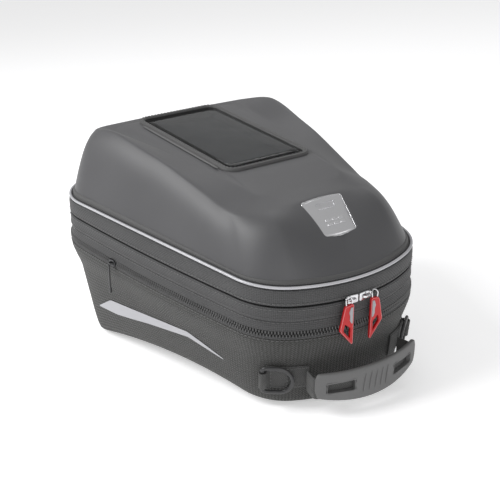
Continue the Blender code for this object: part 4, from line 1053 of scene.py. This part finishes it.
def makeWindow():
    width, top = window["width"], window["top"]
    profile = ((0, 59.3), (0.1, 60.4), (0.5, 61.4), (1.3, top - 0.1), (2.6, top), (width - 1.6, top - 0.1),
               (width - 0.6, top - 0.6), (width, top - 1.4), (width, 59.3))
    shape, _ = loft([windowLoop(inset, w) for inset, w in profile], profileClosed=True)
    border = putPiece("windowFrame", shape, trimFabric, "lid")
    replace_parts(border, "window_frame")

    shape = bmesh.new()
    for inset in (1.5, 4.0):
        stitchLine(shape, windowLoop(inset, top), lambda spot, along: Vector((0, 0, 1)),
                   {"length": 2.6, "gap": 1.2, "radius": 0.34, "proud": 0.0}, closed=True)
    putPiece("windowSeams", shape, seamThread, "lid", sharp=70)

    # the film swells a little over its pocket
    centre = Vector((0, (window["front"] + window["rear"]) / 2, 0))
    rows = [windowLoop(width - 0.3, 60.4)]
    for share in (0.85, 0.7, 0.5, 0.3, 0.15):
        row = []
        for spot in windowLoop(width + 0.2, 0):
            place = centre.lerp(spot, share)
            place.z = 60.4 + 1.1 * (1 - share * share)
            row.append(place)
        rows.append(row)
    shape, grid = loft(rows)
    shape.faces.new(grid[-1])
    film = putPiece("windowFilm", shape, clearTpu, "lid")
    lineThrough(film, clearTpu, 0.5, 0)
    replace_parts(film, "window_film")

    depths = ((width + 0.1, 59.6), (width + 0.2, 57), (width + 0.8, 51),
              (width + 2.2, window["floor"] + 0.6),
              (width + 6, window["floor"] + 0.1))
    rows = [windowLoop(inset, w) for inset, w in depths]
    shape, grid = loft(rows)
    shape.faces.new(grid[-1])
    tray = putPiece("phonePocket", shape, pocketFleece, "lid")
    lineThrough(tray, liningFabric, 0.8, 0)
    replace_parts(tray, "phone_pocket")

    # the pocket's opening: a slit with a turned lip along the left
    lip = tubeAlong([Vector((-window["half"] - 1.6, y, 60.2)) for y in (12, 16, 60, 110, 150, 156)],
                    [0.5, 1.3, 1.5, 1.5, 1.3, 0.5], 10, flat=0.55)
    putPiece("pocketLip", lip, gripRubber, "lid")


def badgePlace():
    up = (badge["top"] - badge["low"]).normalized()
    right = Vector((1, 0, 0))
    middle = (badge["top"] + badge["low"]) / 2
    return Matrix.Translation(middle) @ Matrix((right, up, right.cross(up))).transposed().to_4x4()


def badgeOutline(grow):
    half = (badge["top"] - badge["low"]).length / 2 + grow
    top, low = badge["topWidth"] / 2 + grow, badge["lowWidth"] / 2 + grow
    bow = badge["bow"]
    corners = [(-low, -half + bow), (-low * 0.5, -half + bow * 0.25), (0, -half),
               (low * 0.5, -half + bow * 0.25),
               (low, -half + bow), (top, half - bow), (top * 0.5, half - bow * 0.25), (0, half),
               (-top * 0.5, half - bow * 0.25), (-top, half - bow)]
    return roundedCorners(corners, 2.8)


def makeBadge():
    place = badgePlace()
    rim = badgeOutline(0.9)
    thick = badge["thick"] - 0.8

    def shrunk(inset, z):
        return [Vector((x - math.copysign(min(inset, abs(x)), x),
                        y - math.copysign(min(inset, abs(y)), y), z)) for x, y in rim]

    def scaled(share):
        return [Vector((x * share, y * share, thick - 0.9 * (x * share / 21) ** 2)) for x, y in rim]

    rows = [shrunk(0.3, -0.8), shrunk(0, -0.2), shrunk(0, 0.6), shrunk(0.35, 1.05), shrunk(1.0, 1.25)]
    rows += [scaled(s) for s in (0.9, 0.86, 0.7, 0.5, 0.3, 0.12)]
    shape, grid = loft(rows)
    shape.faces.new(grid[0][::-1])
    shape.faces.new(grid[-1])
    item = putPiece("badgePlate", shape, satinAluminium, "lid", local=place, sharp=24)
    scoopY = (badge["top"] - badge["low"]).length / 2 - 8.5
    scoop = plate(roundedCorners([(-9.5, scoopY - 3.0), (9.5, scoopY - 3.0), (10.8, scoopY + 2.8),
                                  (-10.8, scoopY + 2.8)], 1.8),
                  0.9, 6, 0.01)
    cutWith(item, putPiece("badgeScoop", scoop, satinAluminium, None, local=place))
    item.data.set_sharp_from_angle(angle=math.radians(24))
    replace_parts(item, "badge_plate")
    edge = tubeAlong([Vector((x * 0.975, y * 0.975, 1.15)) for x, y in rim], 0.5, 8, closed=True)
    putPiece("badgeBevel", edge, nickelZinc, "lid", local=place, sharp=60)
    lip = tubeAlong([Vector((x, scoopY - 3.1, 2.05)) for x in (-9.0, -4, 0, 4, 9.0)],
                    [0.25, 0.5, 0.55, 0.5, 0.25], 8)
    putPiece("badgeLip", lip, nickelZinc, "lid", local=place, sharp=60)
    marks = bmesh.new()  # a plain mark of six bars
    wide = 5
    for x in (-8.5, -1.5, 5.5):
        for y in (-8.6, -4.2):
            bar = plate(roundedCorners([(x - 0.6, y - 0.9), (x + wide, y - 0.9),
                                        (x + wide + 0.6, y + 0.9), (x, y + 0.9)], 0.5),
                        thick - 0.35, thick + 0.35, 0.25)
            addShape(marks, bar)
    putPiece("badgeMark", marks, satinAluminium, "lid", local=place)
    gasket = plate(badgeOutline(1.8), -1.2, 0.0, 0.4)
    putPiece("badgeGasket", gasket, socketNylon, "lid", local=place)


makeDome()
makeWelt()
makeWindow()
makeBadge()
print("dome, window and badge")


# ---- sliders and pulls of the main zip

slider = {"meeting": -2.36, "spread": 7.0, "pullSpread": 13.3, "standoff": 7.0, "length": 13.0,
          "height": 8.4, "drop": 5.3, "rise": 5.0}
pullShape = {"outline": ((-4.2, 0.0), (4.2, -1.5), (9.0, -24.5), (-4.5, -41.0)),
             "hole": ((-1.8, -23.8), (3.9, -18.7), (5.2, -25.3), (-1.4, -33.6)),
             "inlay": ((-3.4, -3.0), (-1.2, -3.2), (0.4, -8.0), (-0.6, -11.0), (-0.6, -16.0),
                       (-2.4, -19.0), (-3.4, -19.0))}


def joined(*shapes):
    whole = bmesh.new()
    for shape in shapes:
        bmesh.ops.recalc_face_normals(shape, faces=shape.faces)
        addShape(whole, shape)
    return whole


def sliderShape(length, height, side):
    # outer plate, a lower inner plate, the post between them and the bail that holds the pull
    half, tall = length / 2, height / 2
    outline = [(-half, -tall * 0.62), (-half * 0.3, -tall), (half, -tall * 0.92), (half, tall * 0.92),
               (-half * 0.3, tall), (-half, tall * 0.62)]
    if side > 0:
        outline = [(-x, y) for x, y in outline][::-1]
    top = plate(roundedCorners(outline, 1.6), 0.5, 2.2, 0.55)
    under = plate(roundedCorners([(x * 0.9, y * 0.85) for x, y in outline], 1.4), -4.6, -3.7, 0.3)
    post = plate([(-half + 3, -0.35), (half - 3, -0.35), (half - 3, 0.35), (-half + 3, 0.35)], -4.0,
                 1.0, 0.1)
    arch = smoothPath([Vector((-half * 0.55, 0, 1.9)), Vector((-half * 0.42, 0, 3.6)), Vector((0, 0, 4.5)),
                       Vector((half * 0.42, 0, 3.6)), Vector((half * 0.55, 0, 1.9))], 5)
    bail = tubeAlong(arch, 1.15, 10, flat=0.55, squeeze=Vector((0, 0, 1)))
    return joined(top, under, post, bail)


def makeMainSlider(side):
    word = "Left" if side < 0 else "Right"
    node = word.lower()
    angle = math.radians(slider["meeting"]) + side * slider["spread"] / 142.0
    out = facing(angle)
    spot = rimPlan.frontCentre + out * 142.5
    seat = facePlace(Vector((spot.x, spot.y, -17.6)), Vector((out.x, out.y, 0)))
    item = putPiece("mainSlider" + word, sliderShape(slider["length"], slider["height"], side), nickelZinc,
                    "slider_" + node, local=seat, sharp=35)
    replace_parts(item, "main_slider_" + node)

    pivot = seat @ Matrix.Translation((side * (slider["pullSpread"] - slider["spread"]), slider["rise"],
                                       slider["standoff"]))
    drop = slider["drop"]
    wire = smoothPath([Vector((-2.6, -drop - 1.5, 0)), Vector((-3.2, -drop / 2, 0)),
                       Vector((-2.2, -0.4, -1.2)), Vector((0, 0.5, -2.0)),
                       Vector((2.2, -0.4, -1.2)), Vector((3.2, -drop / 2, 0)),
                               Vector((2.6, -drop - 1.5, 0))], 6)
    link = putPiece("pullLink" + word, tubeAlong(wire, 0.62, 10, squeeze=Vector((0.1, 0.2, 1))),
                    nickelZinc, "pull_" + node,
                    local=pivot)
    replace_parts(link, "pull_link_" + node)

    def sided(points):
        made = [(side * x, y - drop) for x, y in points]
        return made if side > 0 else made[::-1]

    # the outline and the hole have their corners in the same order, so one loft makes the tab
    loops = [roundedCorners(sided(pullShape["outline"]), 2.0),
             roundedCorners(sided(pullShape["hole"]), 0.9)]
    rows = []
    for points, steps in zip(loops, (((0.5, -1.3), (0, -0.8), (0, 0.8), (0.5, 1.3)),
                                     ((-0.3, 1.3), (0, 1.0), (0, -1.0), (-0.3, -1.3)))):
        middle = sum((Vector(p).to_3d() for p in points), Vector()) / len(points)
        for inset, z in steps:
            row = [Vector(p).to_3d() + (middle - Vector(p).to_3d()).normalized() * inset for p in points]
            rows.append([Vector((p.x, p.y, z)) for p in row])
    tab, _ = loft(rows, profileClosed=True)
    item = putPiece("pullTab" + word, tab, redTpu, "pull_" + node, local=pivot, sharp=40)
    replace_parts(item, "pull_tab_" + node)
    # painted highlight: a thin pale red tube laid just inside the tab's outline stands in for the shine on
    # its edge
    edge = [Vector((x, y, 1.2)) for x, y in roundedCorners(sided(pullShape["outline"]), 2.0)]
    centre = sum(edge, Vector()) / len(edge)
    edge = [p + (centre - p).normalized() * 0.75 for p in edge]
    putPiece("pullRimHighlight" + word, tubeAlong(edge, 0.3, 8, closed=True, squeeze=Vector((0, 0, 1))), paintedHighlightTpu,
             "pull_" + node,
             local=pivot)
    inlay = plate(roundedCorners(sided(pullShape["inlay"]), 0.6), 1.1, 1.9, 0.3)
    item = putPiece("pullInlay" + word, inlay, greyTpu, "pull_" + node, local=pivot)
    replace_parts(item, "pull_inlay_" + node)


for side in (-1, 1):
    makeMainSlider(side)

item = putPiece("expansionSlider", sliderShape(9.5, 7.5, 1), blackZinc, "expansion_slider",
                local=expansionSliderPlace(), sharp=35)
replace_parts(item, "expansion_slider")
print("sliders and pulls")


# ---- webbing, D-rings and handle

webbing = {"top": -79.0, "low": -102.0, "thick": 1.4, "start": -31.0, "end": -72.0}
ring = {"bar": -29.0, "reach": 28.0, "height": 25.0, "standoff": 6.2, "wire": 1.7}
handle = {"centreY": -36.3, "radius": 127.8, "half": 26.2, "thick": 3.6, "top": -74.3, "endLow": -97.6,
          "midLow": -106.0, "slotIn": 9.9, "slotOut": 21.3, "slotTop": -84.0, "slotLow": -94.3,
          "anchor": (51.5, -133.5, -91.0)}
boxStitch = {"length": 2.4, "gap": 1.1, "radius": 0.36, "proud": 0.0}


def wallStrip(side, stations, top, low, offset, thick, levels=10):
    # a strip of webbing that lies on the tub, with rounded selvedges
    rows = []
    for k in range(levels + 1):
        share = k / levels
        edge = min(share, 1 - share) * 2
        full = thick * min(1.0, 0.45 + 1.6 * edge)
        rows.append([clothPlace(s, low + (top - low) * share, offset + full, side) for s in stations])
    inner = [[clothPlace(s, low + (top - low) * k / 2, offset, side) for s in stations] for k in (2, 1, 0)]
    shape, grid = loft(rows + inner, profileClosed=True, loopClosed=False)
    for index in (0, -1):
        shape.faces.new([row[index] for row in grid])
    return shape


def makeSideTrim(side):
    word = "Left" if side < 0 else "Right"
    node = word.lower()
    count = 18
    stations = [webbing["start"] + (webbing["end"] - webbing["start"]) * k / count for k in range(count + 1)]
    strip = wallStrip(side, stations, webbing["top"], webbing["low"], 0.6, webbing["thick"])
    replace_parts(putPiece("sideWebbing" + word, strip, beltWebbing, "tub"),
                "side_webbing_" + node)

    def outward(spot, along):
        flat = Vector((spot.x, spot.y - rimPlan.cornerCentre.y, 0))
        flat.x -= side * rimPlan.cornerCentre.x
        return flat.normalized()

    shape = bmesh.new()
    height = webbing["thick"] + 0.65
    for w in (webbing["top"] - 1.8, webbing["low"] + 1.8):
        stitchLine(shape, [clothPlace(s, w, height, side) for s in stations[2:]], outward, boxStitch)
    for s in (stations[2], stations[9]):
        stitchLine(shape, [clothPlace(s, w, height, side) for w in (-81.5, -91, -99.5)], outward, boxStitch)
    putPiece("webbingStitches" + word, shape, seamThread, "tub", sharp=70)

    # reflective flash on the side
    top = ((21.0, -90.6), (70.0, -83.0), (195.0, -100.0), (220.0, -117.0))
    low = ((21.0, -91.6), (70.0, -89.0), (130.0, -101.0), (188.0, -115.0), (220.0, -118.0))
    places = [21 + 199 * k / 60 for k in range(61)]
    rows = []
    for k in range(7):
        levels = [straightThrough(low, s) + (straightThrough(top, s) - straightThrough(low, s)) * k / 6
                  for s in places]
        rows.append([clothPlace(s, w, 0.55, side) for s, w in zip(places, levels)])
    shape, _ = loft(rows, loopClosed=False)
    flash = putPiece("sideFlash" + word, shape, reflectFilm, "tub")
    return flash, node


def ringFrame(side):
    level = (webbing["top"] + webbing["low"]) / 2 - 1.0
    bar = wallPoint(ring["bar"], level, ring["standoff"], side)
    nose = wallPoint(ring["bar"] - ring["reach"], level, ring["standoff"], side)
    along = (nose - bar).normalized()
    upward = wallPoint(ring["bar"], webbing["top"], 0, side) - wallPoint(ring["bar"], webbing["low"], 0,
                                                                         side)
    out = along.cross(upward).normalized() * -side
    return axesPlace(bar, along, out)


def makeRing(side):
    word = "Left" if side < 0 else "Right"
    place = ringFrame(side)
    half = ring["height"] / 2
    straight = ring["reach"] - half - ring["wire"]
    path = [Vector((0, 0, -half + 3.2)), Vector((0, 0, 0)), Vector((0, 0, half - 3.2)),
            Vector((0.9, 0, half - 1)),
            Vector((3.2, 0, half)), Vector((straight * 0.6, 0, half)), Vector((straight, 0, half))]
    for step in range(1, 8):
        angle = math.pi * step / 8
        path.append(Vector((straight + half * math.sin(angle), 0, half * math.cos(angle))))
    path += [Vector((straight, 0, -half)), Vector((straight * 0.6, 0, -half)), Vector((3.2, 0, -half)),
             Vector((0.9, 0, -half + 1))]
    shape = tubeAlong(smoothPath(path, 5, closed=True), ring["wire"] * 1.15, 14, closed=True, flat=0.85,
                      squeeze=Vector((0, 1, 0)))
    item = putPiece("dRing" + word, shape, ringAcetal, "ring_" + word.lower(),
                    local=place, sharp=60)
    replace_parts(item, "d_ring_" + word.lower())

    # the webbing folds round the ring's bar and is sewn back down on the tub
    radius = ring["wire"] * 1.15 + 1.0
    path = [(7.5, -3.9), (4.6, -3.7), (3.2, -2.2)]
    path += [(math.sin(math.radians(a)) * radius, math.cos(math.radians(a)) * radius)
             for a in range(100, -121, -20)]
    path += [(-2.0, -3.4), (-0.5, -4.7), (3.0, -5.0)]
    middle = smoothPath([Vector((x, y, 0)) for x, y in path], 4)
    wide = ring["height"] / 2 - 4.2
    rows = []
    for z in (-wide, -wide * 0.96, 0, wide * 0.96, wide):
        thick = 0.35 if abs(z) == wide else 0.6
        outer, inner = [], []
        for k, spot in enumerate(middle):
            direction = (middle[min(k + 1, len(middle) - 1)] - middle[max(k - 1, 0)]).normalized()
            across = Vector((-direction.y, direction.x, 0)) * thick
            outer.append(Vector((spot.x, spot.y, z)) + across)
            inner.append(Vector((spot.x, spot.y, z)) - across)
        rows.append(outer + inner[::-1])
    shape, grid = loft(rows)
    shape.faces.new(grid[0][::-1])
    shape.faces.new(grid[-1])
    fold = putPiece("ringFold" + word, shape, beltWebbing, "tub", local=place, sharp=50)
    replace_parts(fold, "ring_keeper_" + word.lower())


def handleSpot(degrees, radius, w):
    angle = math.radians(degrees)
    return Vector((radius * math.sin(angle), handle["centreY"] - radius * math.cos(angle), w))


def makeHandle():
    outer, inner = handle["radius"], handle["radius"] - handle["thick"]
    rows = []
    steps = 64
    for i in range(steps + 1):
        turn = -handle["half"] + 2 * handle["half"] * i / steps
        share = abs(turn) / handle["half"]
        low = handle["midLow"] + (handle["endLow"] - handle["midLow"]) * share * share
        top = handle["top"]
        endings = max(0.0, (share - 0.93) / 0.07)
        close = 5.5 * (1 - math.sqrt(max(0.0, 1 - endings * endings)))
        low, top = low + close, top - close
        belly = 0.5 * (1 - share)
        soft = 1.1
        section = [(outer - soft, low), (outer - 0.3, low + 0.35), (outer + belly * 0.3, low + 1.2),
                   (outer + belly, low + 5),
                   (outer + belly, top - 5), (outer + belly * 0.3, top - 1.2), (outer - 0.3, top - 0.35),
                   (outer - soft, top), (inner + soft, top), (inner + 0.2, top - 0.5), (inner, top - 1.4),
                   (inner, low + 1.4), (inner + 0.2, low + 0.5), (inner + soft, low)]
        rows.append([handleSpot(turn, r, w) for r, w in section])
    shape, grid = loft(rows)
    shape.faces.new(grid[0])
    shape.faces.new(grid[-1])
    grip = putPiece("handleGrip", shape, gripRubber, "handle", sharp=50)
    for side in (-1, 1):
        loops = []
        corners = roundedCorners([(handle["slotIn"], handle["slotLow"]),
                                  (handle["slotOut"], handle["slotLow"] + 1.0),
                                  (handle["slotOut"], handle["slotTop"] - 0.5),
                                          (handle["slotIn"], handle["slotTop"])], 1.0)
        for radius in (inner - 6, outer + 6):
            loops.append([handleSpot(side * a, radius, w) for a, w in corners])
        shape, grid = loft(loops)
        shape.faces.new(grid[0])
        shape.faces.new(grid[1])
        shape.normal_update()
        cutWith(grip, putPiece("gripSlot", shape, gripRubber, None))
    grip.data.set_sharp_from_angle(angle=math.radians(45))
    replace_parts(grip, "handle_grip")

    # raised ribs in the middle, and a rim round each slot
    shape = bmesh.new()
    for k in range(5):
        turn = -5.6 + 2.8 * k
        line = [handleSpot(turn + 0.5 * s, outer + 0.55, -98.5 + 18 * (s + 1) / 2) for s in (-1, -0.5,
                                                                                             0, 0.5, 1)]
        part = tubeAlong(line, [0.4, 0.85, 0.95, 0.85, 0.4], 8)
        addShape(shape, part)
    putPiece("gripRibs", shape, gripRubber, "handle")
    shape = bmesh.new()
    for side in (-1, 1):
        line = [handleSpot(side * a, outer + 0.12, w) for a, w in roundedCorners(
            [(handle["slotIn"] - 0.4, handle["slotLow"] - 0.9),
             (handle["slotOut"] + 0.4, handle["slotLow"] + 0.1),
             (handle["slotOut"] + 0.4, handle["slotTop"] + 0.4), (handle["slotIn"] - 0.4,
                                                                  handle["slotTop"] + 0.9)], 1.5)]
        part = tubeAlong(line, 0.55, 8, closed=True)
        addShape(shape, part)
    putPiece("gripSlotRims", shape, gripRubber, "handle")

    # one strap behind the grip, turned back to the tub at both ends
    strapRadius = inner - 0.4
    turn = handle["half"] - 0.8
    middle = [handleSpot(-turn + 2 * turn * i / 40, strapRadius, 0) for i in range(41)]
    end = middle[-1]
    anchor = Vector(handle["anchor"])
    tail = [Vector((end.x + 1.4, end.y + 2.0, 0)), Vector((end.x + 1.7, end.y + 4.6, 0)),
            Vector((end.x + 1.2, end.y + 7.0, 0)),
            Vector((anchor.x + 1.2, anchor.y - 0.6, 0)), Vector((anchor.x + 0.6, anchor.y + 1.2, 0))]
    path = [Vector((-p.x, p.y, 0)) for p in reversed(tail)] + middle + tail
    top, low = webbing["top"] - 1.5, webbing["low"] + 1.0
    rows = []
    for k in range(13):
        share = k / 12
        thin = 0.65 * (1 - min(1.0, 0.4 + 3.0 * min(share, 1 - share)))
        row = []
        for i, spot in enumerate(path):
            direction = (path[min(i + 1, len(path) - 1)] - path[max(i - 1, 0)]).normalized()
            inward = Vector((-direction.y, direction.x, 0))
            place = spot + inward * thin
            row.append(Vector((place.x, place.y, low + (top - low) * share)))
        rows.append(row)
    for share in (1, 0.5, 0):
        row = []
        for i, spot in enumerate(path):
            direction = (path[min(i + 1, len(path) - 1)] - path[max(i - 1, 0)]).normalized()
            place = spot + Vector((-direction.y, direction.x, 0)) * 1.35
            row.append(Vector((place.x, place.y, low + (top - low) * share)))
        rows.append(row)
    shape, grid = loft(rows, profileClosed=True, loopClosed=False)
    for index in (0, -1):
        shape.faces.new([row[index] for row in grid])
    strap = putPiece("handleStrap", shape, beltWebbing, "handle", sharp=50)
    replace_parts(strap, "handle_strap")


for side in (-1, 1):
    flash, node = makeSideTrim(side)
    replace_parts(flash, "side_decal_" + node)
    makeRing(side)
makeHandle()
print("webbing, rings and handle")


# ---- socket underneath: the frame's own solids, with real finishes

carried = {"lock_flange": socketNylon, "lock_backing_plate": socketNylon, "latch_bolt": socketNylon,
           "latch_tab": redTpu, "latch_spring_left": zincSteel, "latch_spring_right": zincSteel}
carried.update({f"flange_screw_{k}": zincSteel for k in range(1, 5)})
for node, finish in carried.items():
    for place in cadNodes[node].material_slots:
        place.material = finish
print("socket finished")
